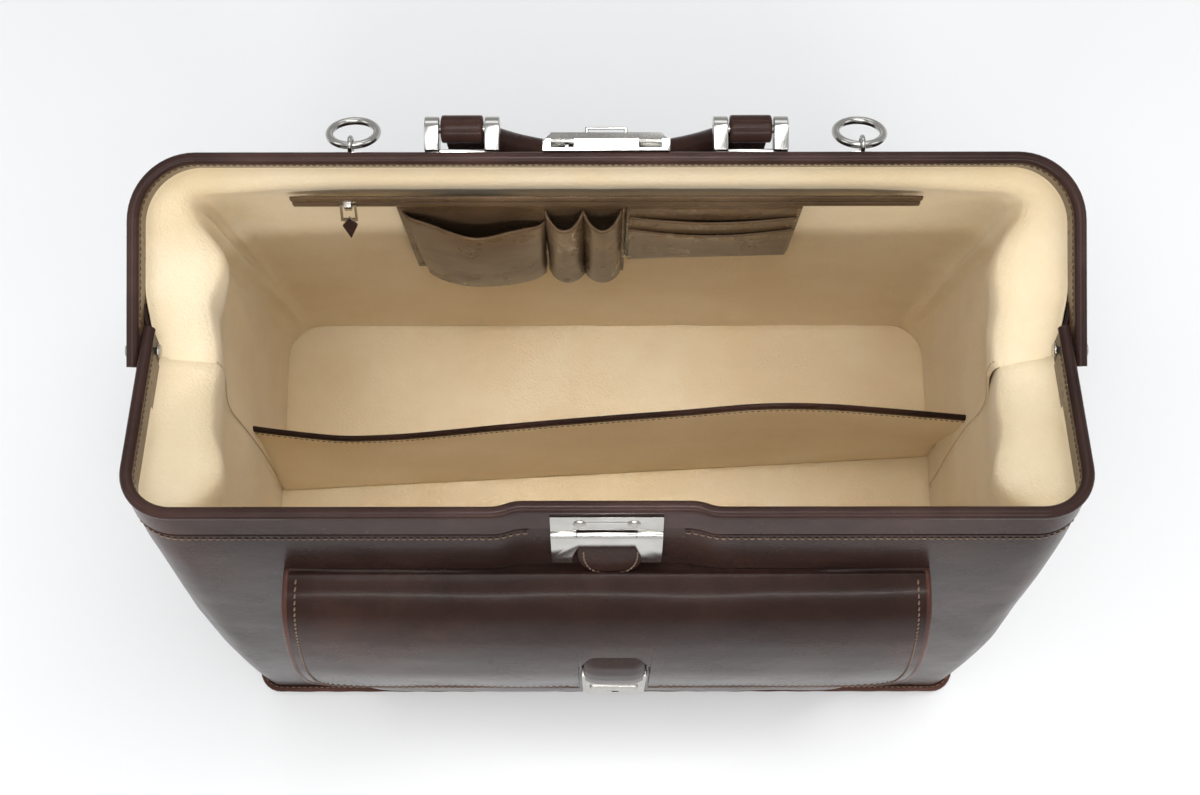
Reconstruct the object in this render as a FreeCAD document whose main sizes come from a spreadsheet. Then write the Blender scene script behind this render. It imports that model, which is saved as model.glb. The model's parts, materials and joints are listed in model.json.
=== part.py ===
"""Doctor bag with a two-part folding mouth frame, shown standing open.

Units are millimetres. X runs to the right, Y to the rear and Z up.
The origin is on the floor, under the middle of the base.

Pieces on a frame are drawn in that frame's own axes and then seated:
x across the bag, r from the hinge pin out to the bar, n towards the mating edge.
"""
import FreeCAD, Part
import math
import os
import Sketcher

doc = FreeCAD.newDocument("doctor_bag")

# ---------------------------------------------------------------- driving dimensions
SIZES = {
    "frame_width": 460,      # outside width of the rear frame, an 18 inch bag frame
    "frame_nesting": 6.6,    # how much narrower the front frame is, each side
    "bar_reach": 92,         # hinge pin to the middle of the bar
    "front_corner": 23,      # frame corners, on the strip's middle line
    "rear_corner": 30,
    "strip_width": 20,       # frame strip, across the mouth plane
    "strip_thick": 1.6,
    "wrap_thick": 1.2,       # leather on each side of the strip
    "bead_radius": 3,        # rolled leather bead on the mating edge
    "arm_overrun": 8,        # arm that runs on past the hinge pin
    "hinge_drop": 9.8,       # mating edge to hinge pin
    "hinge_height": 313.5,
    "hinge_shift": 3.9,      # hinge pins stand this far behind the middle
    "open_tilt": 15.5,       # each frame above level when the bag stands open
    "rivet_radius": 1.8,
    "running_gap": 0.05,
    "jog_half": 38,          # half length of the straight part of the front bar's jog
    "jog_run": 7.5,          # half length of each bend of the jog
    "jog_step": 1.5,         # half depth of the jog
    "base_length": 428,
    "base_depth": 240,
    "base_corner": 10,
    "welt_radius": 2.2,
    "stud_height": 4,
    "leather": 2.4,
    "lining": 1.2,
    "seam_gap": 0.4,
    "panel_foot": 9,         # lower edge of the walls
    "lip_height": 326.8,     # upper edge of the walls
    "front_foot": 122.5,     # wall outside faces, from the middle
    "front_lip": 87.6,
    "rear_lip": 97.2,
    "gusset_face": 216.6,
    "gusset_dip": 299.5,     # gusset's upper edge under the hinge pin
    "pocket_width": 300,
    "flap_width": 316,
    "flap_radius": 127.5,
    "flap_centre": 195,
    "flap_front": 136,
    "flap_foot": 150,
    "flap_root": 286,
    "flap_thick": 3,
    "clasp_shift": 4,        # pocket clasp right of the middle
    "clasp_width": 34,
    "divider_place": 12,
    "divider_top": 150,
    "lock_width": 52,
    "case_width": 61,
    "case_height": 11,
    "bracket_shift": 69.5,
    "bracket_width": 36,
    "pin_reach": 107,        # hinge pin of the frame to the handle's pin
    "pin_radius": 2,
    "roll_radius": 6.7,
    "ring_shift": 123.5,
    "ring_radius": 11.6,
    "ring_wire": 1.9,
    "zip_height": 285,
    "pull_stand": 33,        # the stiff leather pull stands this far off vertical, clear of the pockets
}
sheet = doc.addObject("Spreadsheet::Sheet", "Sizes")
for row, (alias, number) in enumerate(SIZES.items(), start=1):
    sheet.set("A%d" % row, alias)
    sheet.set("B%d" % row, str(number))
    sheet.setAlias("B%d" % row, alias)
doc.recompute()


class Dim:
    """A length with its value and the spreadsheet expression that gives it."""

    def __init__(self, value, text):
        self.value = value
        self.text = text

    def __add__(self, other):
        other = dim(other)
        return Dim(self.value + other.value, "(%s + %s)" % (self.text, other.text))

    def __sub__(self, other):
        other = dim(other)
        return Dim(self.value - other.value, "(%s - %s)" % (self.text, other.text))

    def __mul__(self, other):
        other = dim(other)
        return Dim(self.value * other.value, "(%s * %s)" % (self.text, other.text))

    def __truediv__(self, other):
        other = dim(other)
        return Dim(self.value / other.value, "(%s / %s)" % (self.text, other.text))

    def __neg__(self):
        return Dim(-self.value, "(0 - %s)" % self.text)

    def __radd__(self, other):
        return dim(other) + self

    def __rsub__(self, other):
        return dim(other) - self

    def __rmul__(self, other):
        return dim(other) * self


def dim(number):
    """A plain number as a Dim."""
    if isinstance(number, Dim):
        return number
    return Dim(float(number), "%.10g" % number if number >= 0 else "(0 - %.10g)" % -number)


def cell(alias):
    """A driving dimension, bound to its cell."""
    return Dim(float(sheet.get(alias)), "Sizes." + alias)


def bind(thing, prop, size):
    """Sets a property to a size and ties it to the sheet."""
    size = dim(size)
    if "." not in prop and not prop.startswith("Constraints"):
        setattr(thing, prop, size.value)
    thing.setExpression(prop, size.text)


def place(thing, x, y, z):
    """Ties a thing's position to the sheet."""
    for axis, size in (("x", x), ("y", y), ("z", z)):
        bind(thing, "Placement.Base." + axis, size)
    return thing


# ---------------------------------------------------------------- ways to make a solid
def box(label, low, high):
    """A block between two corners."""
    block = doc.addObject("Part::Box", label)
    for prop, first, last in zip(("Length", "Width", "Height"), low, high):
        bind(block, prop, dim(last) - dim(first))
    return place(block, *low)


TURNS = {
    "x": FreeCAD.Rotation(FreeCAD.Vector(0, 1, 0), 90),
    "y": FreeCAD.Rotation(FreeCAD.Vector(1, 0, 0), -90),
    "z": FreeCAD.Rotation(),
}


def rod(label, radius, length, start, axis="x"):
    """A cylinder that runs from start along +axis."""
    bar = doc.addObject("Part::Cylinder", label)
    bind(bar, "Radius", radius)
    bind(bar, "Height", length)
    bar.Placement = FreeCAD.Placement(FreeCAD.Vector(), TURNS[axis])
    return place(bar, *start)


def cut(label, base, tool):
    result = doc.addObject("Part::Cut", label)
    result.Base = base
    result.Tool = tool
    return result


def fuse(label, *pieces):
    result = doc.addObject("Part::MultiFuse", label)
    result.Shapes = list(pieces)
    return result


def group(label, *pieces):
    """Separate solids that share a node."""
    result = doc.addObject("Part::Compound", label)
    result.Links = list(pieces)
    return result


def origin_plane(body, role):
    return [f for f in body.Origin.OriginFeatures if f.Role == role][0]


def arc_centre(start, end, radius, turn):
    """Centre of the shorter arc from start to end. turn is 1 anticlockwise, -1 clockwise."""
    middle = (start + end) * 0.5
    chord = end - start
    rise = math.sqrt(max(radius ** 2 - (chord.Length / 2) ** 2, 0))
    left = FreeCAD.Vector(-chord.y, chord.x, 0).normalize()
    return middle + left * rise * turn


def outline(body, name, role, corners, arcs=None, closed=True, lift=None):
    """A sketch through corners, each bound to the sheet. arcs maps an edge to (radius, turn)."""
    arcs = arcs or {}
    sketch = body.newObject("Sketcher::SketchObject", name)
    sketch.AttachmentSupport = [(origin_plane(body, role), "")]
    sketch.MapMode = "FlatFace"
    if lift is not None:
        bind(sketch, "AttachmentOffset.Base.z", lift)
    places = [FreeCAD.Vector(dim(x).value, dim(y).value, 0) for x, y in corners]
    edges = len(places) if closed else len(places) - 1
    ends = []
    for i in range(edges):
        start, end = places[i], places[(i + 1) % len(places)]
        if i in arcs:
            radius, turn = arcs[i]
            centre = arc_centre(start, end, dim(radius).value, turn)
            first, last = (start, end) if turn > 0 else (end, start)
            angles = [math.atan2((p - centre).y, (p - centre).x) for p in (first, last)]
            circle = Part.Circle(centre, FreeCAD.Vector(0, 0, 1), dim(radius).value)
            edge = sketch.addGeometry(Part.ArcOfCircle(circle, *angles), False)
            ends.append((edge, 1, 2) if turn > 0 else (edge, 2, 1))
            index = sketch.addConstraint(Sketcher.Constraint("Radius", edge, dim(radius).value))
            bind(sketch, "Constraints[%d]" % index, radius)
        else:
            edge = sketch.addGeometry(Part.LineSegment(start, end), False)
            ends.append((edge, 1, 2))
    for i in range(edges if closed else edges - 1):
        edge, _, last = ends[i]
        after, first, _ = ends[(i + 1) % edges]
        sketch.addConstraint(Sketcher.Constraint("Coincident", edge, last, after, first))
    joints = [(ends[i][0], ends[i][1]) for i in range(edges)]
    if not closed:
        joints.append((ends[-1][0], ends[-1][2]))
    for (edge, point), corner in zip(joints, corners):
        for kind, size, axis in (("DistanceX", dim(corner[0]), -2), ("DistanceY", dim(corner[1]), -1)):
            if abs(size.value) < 1e-9:
                sketch.addConstraint(Sketcher.Constraint("PointOnObject", edge, point, axis))
                continue
            rule = Sketcher.Constraint(kind, -1, 1, edge, point, size.value)
            index = sketch.addConstraint(rule)
            bind(sketch, "Constraints[%d]" % index, size)
    return sketch


def pad(body, name, sketch, length, middle=False):
    feature = body.newObject("PartDesign::Pad", name)
    feature.Profile = sketch
    bind(feature, "Length", length)
    if middle:
        feature.Midplane = True
    return feature


def prism(label, role, corners, length, arcs=None, middle=True, lift=None):
    """A flat outline pushed out into a solid, both ways from its plane unless lifted."""
    body = doc.addObject("PartDesign::Body", label)
    sketch = outline(body, label + "_outline", role, corners, arcs, lift=lift)
    pad(body, label + "_pad", sketch, length, middle)
    return body


def round_plate(label, half_x, half_y, radius, bottom, thick):
    """A level plate with round corners."""
    half_x, half_y, radius = dim(half_x), dim(half_y), dim(radius)
    corners, arcs = round_corners(half_x, half_y, radius)
    return prism(label, "XY_Plane", corners, thick, arcs, middle=False, lift=bottom)


def round_corners(half_x, half_y, radius):
    """Corners and arcs of a rounded rectangle, anticlockwise."""
    long_x, long_y = half_x - radius, half_y - radius
    corners = [(-long_x, -half_y), (long_x, -half_y), (half_x, -long_y), (half_x, long_y),
               (long_x, half_y), (-long_x, half_y), (-half_x, long_y), (-half_x, -long_y)]
    return corners, {1: (radius, 1), 3: (radius, 1), 5: (radius, 1), 7: (radius, 1)}


def pipe(body, name, profile, path):
    feature = body.newObject("PartDesign::AdditivePipe", name)
    feature.Profile = profile
    feature.Spine = path
    return feature


def circle_sketch(body, name, role, x, y, radius, lift=None):
    sketch = body.newObject("Sketcher::SketchObject", name)
    sketch.AttachmentSupport = [(origin_plane(body, role), "")]
    sketch.MapMode = "FlatFace"
    if lift is not None:
        bind(sketch, "AttachmentOffset.Base.z", lift)
    centre = FreeCAD.Vector(dim(x).value, dim(y).value, 0)
    edge = sketch.addGeometry(Part.Circle(centre, FreeCAD.Vector(0, 0, 1), dim(radius).value), False)
    for kind, size in (("DistanceX", x), ("DistanceY", y)):
        size = dim(size)
        index = sketch.addConstraint(Sketcher.Constraint(kind, -1, 1, edge, 3, size.value))
        bind(sketch, "Constraints[%d]" % index, size)
    index = sketch.addConstraint(Sketcher.Constraint("Radius", edge, dim(radius).value))
    bind(sketch, "Constraints[%d]" % index, radius)
    return sketch


# ---------------------------------------------------------------- the frames' own axes
tilt = cell("open_tilt").value
hinge = FreeCAD.Vector(0, cell("hinge_shift").value, cell("hinge_height").value)
drop = FreeCAD.Placement(FreeCAD.Vector(0, 0, cell("hinge_drop").value), FreeCAD.Rotation())
about_x = FreeCAD.Vector(1, 0, 0)
facing_front = FreeCAD.Rotation(FreeCAD.Vector(0, 0, 1), 180)
REAR = FreeCAD.Placement(hinge, FreeCAD.Rotation(about_x, tilt)).multiply(drop)
FRONT = FreeCAD.Placement(hinge, FreeCAD.Rotation(about_x, -tilt).multiply(facing_front)).multiply(drop)

HANDLE_REST = -12.3  # degrees from the frame's own r axis
RING_REST = -50

wall_lean = math.degrees(math.atan2(
    cell("front_foot").value - cell("rear_lip").value,
    cell("lip_height").value - cell("panel_foot").value))
front_lean = math.degrees(math.atan2(
    cell("front_foot").value - cell("front_lip").value,
    cell("lip_height").value - cell("panel_foot").value))
FRONT_WALL = FreeCAD.Placement(
    FreeCAD.Vector(0, -cell("front_lip").value, cell("lip_height").value),
    FreeCAD.Rotation(about_x, -front_lean))
wall_depth = cell("leather").value + cell("seam_gap").value + cell("lining").value
REAR_WALL = FreeCAD.Placement(
    FreeCAD.Vector(0, cell("rear_lip").value - wall_depth, cell("lip_height").value),
    FreeCAD.Rotation(about_x, wall_lean))

sub_parts = []


def keep(piece, label, carrier=None):
    """Names a finished sub-part and seats it on its carrier."""
    if carrier is not None:
        piece.Placement = carrier.multiply(piece.Placement)
    piece.Label = label
    sub_parts.append(piece)
    return piece


# ---------------------------------------------------------------- base
def make_base():
    half_x, half_y = cell("base_length") / 2, cell("base_depth") / 2
    height, corner = cell("stud_height"), cell("base_corner")
    studs = []
    for number, (side, end) in enumerate(((0, 0), (-1, -1), (1, -1), (1, 1), (-1, 1))):
        stud = doc.addObject("Part::Cone", "stud_%d" % number)
        bind(stud, "Radius1", 5)
        bind(stud, "Radius2", 6.5)
        bind(stud, "Height", height)
        studs.append(place(stud, side * (half_x - 24), end * (half_y - 20), 0))
    keep(group("studs", *studs), "base_studs")
    keep(round_plate("base_skin", half_x, half_y, corner, height, 2.6), "base_leather")
    keep(round_plate("board", half_x - 4, half_y - 3, corner, height + 3, 2.4), "base_board")
    cloth = round_plate("base_cloth", half_x - 6, half_y - 8, corner, height + 5.8, cell("lining"))
    keep(cloth, "base_lining")

    body = doc.addObject("PartDesign::Body", "welt")
    gap, radius = cell("welt_radius"), cell("welt_radius")
    corners, arcs = round_corners(half_x + gap + 0.6, half_y + gap + 0.6, corner + 2)
    middle = height + radius + 0.2
    path = outline(body, "welt_path", "XY_Plane", corners, arcs, lift=middle)
    profile = circle_sketch(body, "welt_section", "YZ_Plane", -(half_y + gap + 0.6), middle, radius)
    pipe(body, "welt_pipe", profile, path)
    keep(body, "base_welt")


# ---------------------------------------------------------------- walls
def wall_corners(side, inset, foot, lip, floor):
    """Cross-section of one leather wall: side is -1 at the front and 1 at the rear."""
    thick = cell("leather")
    out_foot, out_lip = side * (foot - inset), side * (lip - inset)
    top = cell("lip_height")
    inner_foot, inner_lip = out_foot - side * thick, out_lip - side * thick
    return [(out_foot, floor), (inner_foot, floor), (inner_lip, top), (out_lip, top)]


def make_walls():
    foot, floor, thick = cell("front_foot"), cell("panel_foot"), cell("leather")
    face = cell("gusset_face")
    length = 2 * (face - thick - cell("seam_gap"))
    lips = {-1: cell("front_lip"), 1: cell("rear_lip")}
    names = {-1: "front", 1: "rear"}
    seam = cell("hinge_shift")
    for side in (-1, 1):
        corners = wall_corners(side, 0, foot, lips[side], floor)
        wall = prism(names[side] + "_wall", "YZ_Plane", corners, length)
        if side < 0:
            half = cell("lock_width") / 2 + 1
            wall = cut("front_wall_cut", wall, box("lock_notch", (-half, -100, 319), (half, -80, 330)))
        keep(wall, names[side] + "_panel")
        near = seam + side * 0.2
        corners = [(near, floor), (side * foot, floor),
                   (side * (lips[side] + 0.9), 318), (near, cell("gusset_dip"))]
        for across, hand in ((-1, "left"), (1, "right")):
            start = face - thick if across > 0 else -face
            label = "%s_gusset_%s" % (hand, names[side])
            keep(prism(label + "_body", "YZ_Plane", corners, thick, middle=False, lift=start), label)
        make_lining(side, names[side], foot, lips[side], near)


def make_lining(side, name, foot, lip, near):
    """Half of the lining: a wall with a return along each gusset."""
    thick, cloth, gap = cell("leather"), cell("lining"), cell("seam_gap")
    floor, top = cell("stud_height") + 9, cell("lip_height") - 2
    back = thick + gap

    def section(inset, low, high):
        """Inside outline of the half bag, moved in by inset."""
        return [(near, low), (side * (foot - inset - 0.6), low),
                (side * (lip - inset), high), (near, high - 28)]

    half = cell("gusset_face") - thick - gap
    outer = prism(name + "_lining_outer", "YZ_Plane", section(back, floor, top), 2 * half)
    hollow = [(near - side * 1, floor - 1), (side * (foot - back - cloth - 0.6), floor - 1),
              (side * (lip - back - cloth), top + 1), (near - side * 1, top + 1)]
    inner = prism(name + "_lining_inner", "YZ_Plane", hollow, 2 * (half - cloth))
    keep(cut(name + "_lining_cut", outer, inner), name + "_lining")


def make_divider():
    """Soft partition across the bag, with its leather binding."""
    place_y, top = cell("divider_place"), cell("divider_top")
    half = cell("gusset_face") - cell("leather") - 2 * cell("seam_gap") - cell("lining") - 0.6
    floor = cell("stud_height") + 7.4
    keep(box("partition", (-half, place_y, floor), (half, place_y + 2.4, top)), "divider")
    keep(box("binding", (-half, place_y - 0.8, top + 0.3), (half, place_y + 3.2, top + 5)), "divider_binding")


# ---------------------------------------------------------------- organiser on the rear wall
def wall_box(label, x_low, x_high, z_low, z_high, near, far):
    """A block on the rear wall. near and far are its distances from the lining."""
    top = cell("lip_height")
    return box(label, (x_low, -dim(far), dim(z_low) - top), (x_high, -dim(near), dim(z_high) - top))


def make_organiser():
    middle = cell("zip_height")
    strip = wall_box("strip", -161, 161, middle - 6, middle + 6, 0.3, 1.7)
    slot = wall_box("strip_slot", -151, 151, middle - 1.7, middle + 1.7, 0, 3)
    keep(cut("strip_cut", strip, slot), "zip_strip", REAR_WALL)
    chain = wall_box("chain", -150.5, 150.5, middle - 1.5, middle + 1.5, 0.3, 1.6)
    keep(group("chain_group", chain), "zip_chain", REAR_WALL)

    left = -137
    slider = wall_box("slider_plate", left, left + 9, middle - 4, middle + 4, 2.0, 3.9)
    saddle = wall_box("slider_saddle", left + 2.5, left + 6.5, middle - 3, middle + 3, 3.8, 7.2)
    eye = wall_box("slider_eye", left + 2, left + 7, middle - 1.6, middle + 1.6, 4.3, 6.5)
    keep(cut("slider_cut", fuse("slider_fuse", slider, saddle), eye), "zip_slider", REAR_WALL)

    level = 5.4
    axle = wall_box("pull_axle", left + 1, left + 8, middle - 0.45, middle + 0.45, level - 0.45, level + 0.45)
    low, high = level - 0.5, level + 0.5
    sides = [wall_box("pull_side_%d" % k, left + x, left + x + 1.2, middle - 8, middle + 0.6, low, high)
             for k, x in enumerate((0.2, 7.6))]
    foot = wall_box("pull_foot", left + 0.2, left + 8.8, middle - 9.4, middle - 7.9, low, high)
    drop = middle - cell("lip_height")
    corners = [(left + 4.5, drop - 7), (left + 0.6, drop - 12),
               (left + 4.5, drop - 20), (left + 8.4, drop - 12)]
    leather = prism("pull_leather", "XZ_Plane", corners, 1.6, middle=False, lift=level - 0.8)
    turn = FreeCAD.Rotation(about_x, -(wall_lean + cell("pull_stand").value))
    hang = FreeCAD.Placement(FreeCAD.Vector(), turn, FreeCAD.Vector(0, -level, drop.value))
    keep(fuse("pull_fuse", axle, *sides, foot, leather), "zip_pull", REAR_WALL.multiply(hang))

    pouch = wall_box("pouch", -106, -36, 142, 270, 0.3, 15)
    space = wall_box("pouch_space", -103, -39, 145, 272, 1.8, 13)
    keep(cut("pouch_cut", pouch, space), "phone_pocket", REAR_WALL)

    loops = []
    for number, x in enumerate((-31, -11)):
        sleeve = wall_box("sleeve_%d" % number, x, x + 18, 156, 270, 0.3, 14)
        bore = wall_box("sleeve_bore_%d" % number, x + 2, x + 16, 150, 275, 1.8, 12)
        loops.append(cut("loop_%d" % number, sleeve, bore))
    keep(group("loops", *loops), "pen_loops", REAR_WALL)

    card = wall_box("card", 11, 100, 188, 270, 0.3, 4.3)
    slits = [wall_box("card_slit_%d" % k, 15, 96, z - 1, z + 0.2, 1.5, 6) for k, z in enumerate((236, 254))]
    keep(cut("card_cut", card, fuse("card_slits", *slits)), "card_pocket", REAR_WALL)


# ---------------------------------------------------------------- front pocket
def bulge(front, radius, centre, height):
    """Y of the rounded pocket front at a height at or above the arc's lower end."""
    rise = dim(height).value - centre.value
    return Dim(-(front.value - radius.value) - math.sqrt(radius.value ** 2 - rise ** 2),
               "(0 - (%s - %s) - sqrt(%s ^ 2 - (%s - %s) ^ 2))"
               % (front.text, radius.text, radius.text, dim(height).text, centre.text))


def panel_face(height):
    """Y of the front wall's outside at a height."""
    foot, lip, low, top = cell("front_foot"), cell("front_lip"), cell("panel_foot"), cell("lip_height")
    return -(foot - (foot - lip) * (dim(height) - low) / (top - low))


def make_pocket():
    centre, bend, front = cell("flap_centre"), cell("flap_radius"), cell("flap_front")
    thick, wall = cell("flap_thick"), 2
    skin_front, skin_bend = front - thick - 2, bend - thick - 2
    rim, foot, clear = 225, 44, 0.3

    def shell(inset, low, high, back):
        """Side outline of the pocket, moved in by inset."""
        face, radius = skin_front - inset, skin_bend - inset
        return [(panel_face(low) - back, low), (-face, low + 15), (-face, centre),
                (bulge(face, radius, centre, high), high), (panel_face(high) - back, high)]

    half = cell("pocket_width") / 2
    outer = prism("pocket_outer", "YZ_Plane", shell(0, foot, rim, clear), 2 * half, {2: (skin_bend, -1)})
    inner = prism("pocket_inner", "YZ_Plane", shell(wall, foot + 3, rim + 1, -1), 2 * (half - wall),
                  {2: (skin_bend - wall, -1)})
    keep(cut("pocket_cut", outer, inner), "pocket_body")

    top, low = cell("flap_root"), cell("flap_foot")
    corners = [(-front, low), (-front, centre), (bulge(front, bend, centre, top), top),
               (bulge(front - thick, bend - thick, centre, top - 1), top - 1),
               (-(front - thick), centre), (-(front - thick), low)]
    flap = prism("flap", "YZ_Plane", corners, cell("flap_width"), {1: (bend, -1), 3: (bend - thick, 1)})
    notch_half = cell("clasp_width") / 2 + 1.5
    middle = cell("clasp_shift")
    notch = box("flap_notch", (middle - notch_half, -front - 5, low - 5),
                (middle + notch_half, -front + 16, 238))
    keep(cut("flap_cut", flap, notch), "pocket_flap")
    make_clasp(middle, -skin_front)


def make_clasp(middle, wall):
    """Press clasp: case on the pocket, tongue on the flap, sprung bar and key barrel."""
    half = cell("clasp_width") / 2
    face = wall - 8.5
    block = box("clasp_block", (middle - half, face, 122), (middle + half, wall - 0.3, 204))
    seat = box("clasp_seat", (middle - half + 2, face - 1, 184), (middle + half - 2, face + 4.5, 206))
    window = box("clasp_window", (middle - 13, face - 1, 150), (middle + 13, face + 5, 166))
    bore = rod("clasp_bore", 3.5 + cell("running_gap"), 6, (middle, face - 1, 136), "y")
    keep(cut("clasp_cut", block, fuse("clasp_tools", seat, window, bore)), "clasp_case")
    corners = [(face + 0.4, 186.5), (face + 2.9, 186.5), (face + 2.9, 205), (-125.6, 237.6), (-128.1, 237.6),
               (face + 0.4, 206)]
    keep(prism("tongue", "YZ_Plane", corners, 2 * (half - 2.6), middle=False,
               lift=middle - half + 2.6), "clasp_tongue")
    press = box("bar_block", (middle - 12.6, face - 1.2, 150.4), (middle + 12.6, face + 2.6, 165.6))
    keep(group("bar", press), "clasp_button")
    barrel = rod("barrel_rod", 3.5, 4.6, (middle, face - 0.2, 136), "y")
    keyhole = box("keyhole", (middle - 0.6, face - 1, 133.8), (middle + 0.6, face + 2, 138.2))
    keep(cut("barrel_cut", barrel, keyhole), "key_barrel")


# ---------------------------------------------------------------- mouth frames
def frame_path(half, offset, jog):
    """The frame's U, moved out by offset: corners and arcs from the left arm to the right one."""
    reach, bend, offset = cell("bar_reach"), cell("front_corner" if jog else "rear_corner"), dim(offset)
    arm, bar, turn = half + offset, reach + offset, bend + offset
    corners = [(-arm, -cell("arm_overrun")), (-arm, reach - bend), (-(half - bend), bar)]
    arcs = {1: (turn, -1)}
    if jog:
        straight, run, step = cell("jog_half"), cell("jog_run"), cell("jog_step")
        radius = (run * run + step * step) / (2 * step)
        side = (radius + offset) * run / radius
        rise = (radius + offset) * (radius - step) / radius
        outer_end, inner_end = straight + 2 * run, reach - 2 * step + offset
        swing = (outer_end - side, reach - radius + rise)
        corners += [(-outer_end, bar), (-swing[0], swing[1]), (-straight, inner_end),
                    (straight, inner_end), (swing[0], swing[1]), (outer_end, bar)]
        arcs.update({3: (radius + offset, -1), 4: (radius - offset, 1),
                     6: (radius - offset, 1), 7: (radius + offset, -1)})
    corners += [(half - bend, bar), (arm, reach - bend), (arm, -cell("arm_overrun"))]
    arcs[len(corners) - 3] = (turn, -1)
    return corners, arcs


def frame_band(half, thick, jog):
    """Closed outline of a strip of the frame: the U moved out, then the U moved in, backwards."""
    outer, outer_arcs = frame_path(half, thick / 2, jog)
    inner, inner_arcs = frame_path(half, -thick / 2, jog)
    count = len(outer)
    arcs = dict(outer_arcs)
    for edge, (radius, turn) in inner_arcs.items():
        arcs[2 * count - 2 - edge] = (radius, -turn)
    return outer + inner[::-1], arcs


def make_frame(name, half, jog, carrier):
    """Steel strip and the leather wrapped round it, drilled for the hinge rivets."""
    thick, wrap = cell("strip_thick"), cell("wrap_thick")
    width, bead = cell("strip_width"), cell("bead_radius")
    hem = 1.2

    def strip(label):
        body = doc.addObject("PartDesign::Body", label)
        corners, arcs = frame_band(half, thick, jog)
        sketch = outline(body, label + "_outline", "XY_Plane", corners, arcs, lift=-(width - hem))
        pad(body, label + "_pad", sketch, width - hem - bead)
        return body

    body = doc.addObject("PartDesign::Body", name + "_skin")
    corners, arcs = frame_band(half, thick + 2 * wrap, jog)
    sketch = outline(body, name + "_skin_outline", "XY_Plane", corners, arcs, lift=-width)
    pad(body, name + "_skin_pad", sketch, width - bead)
    corners, arcs = frame_path(half, 0, jog)
    path = outline(body, name + "_bead_path", "XY_Plane", corners, arcs, closed=False, lift=-bead)
    section = circle_sketch(body, name + "_bead_section", "XZ_Plane", -half, -bead, bead,
                            lift=cell("arm_overrun"))
    pipe(body, name + "_bead", section, path)

    reach = half + 5
    drill = rod(name + "_drill", cell("rivet_radius") + cell("running_gap"), 2 * reach,
                (-reach, 0, -cell("hinge_drop")))
    tools = fuse(name + "_skin_tools", strip(name + "_core"), drill)
    second_drill = rod(name + "_core_drill", cell("rivet_radius") + cell("running_gap"), 2 * reach,
                       (-reach, 0, -cell("hinge_drop")))
    keep(cut(name + "_strip_cut", strip(name + "_steel"), second_drill), name + "_strip", carrier)
    keep(cut(name + "_leather_cut", body, tools), name + "_leather", carrier)


def make_rivets():
    """The rivet at each side, which both arms turn on."""
    half = cell("frame_width") / 2
    y, z = cell("hinge_shift"), cell("hinge_height")
    inner, outer, head = half - 13.2, half + 0.4, 1.4
    for hand, side in (("left", -1), ("right", 1)):
        low = inner if side > 0 else -outer
        shank = rod(hand + "_shank", cell("rivet_radius"), outer - inner, (low, y, z))
        first = rod(hand + "_head_in", 3.4, head, (side * inner - (head if side > 0 else 0), y, z))
        last = rod(hand + "_head_out", 3.4, head, (side * outer - (0 if side > 0 else head), y, z))
        keep(fuse(hand + "_rivet_fuse", shank, first, last), "hinge_rivet_" + hand)


# ---------------------------------------------------------------- front lock half
def bar_face(jog):
    """Outside of the bar's leather."""
    face = cell("bar_reach") + cell("strip_thick") / 2 + cell("wrap_thick")
    return face - 2 * cell("jog_step") if jog else face


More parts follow.
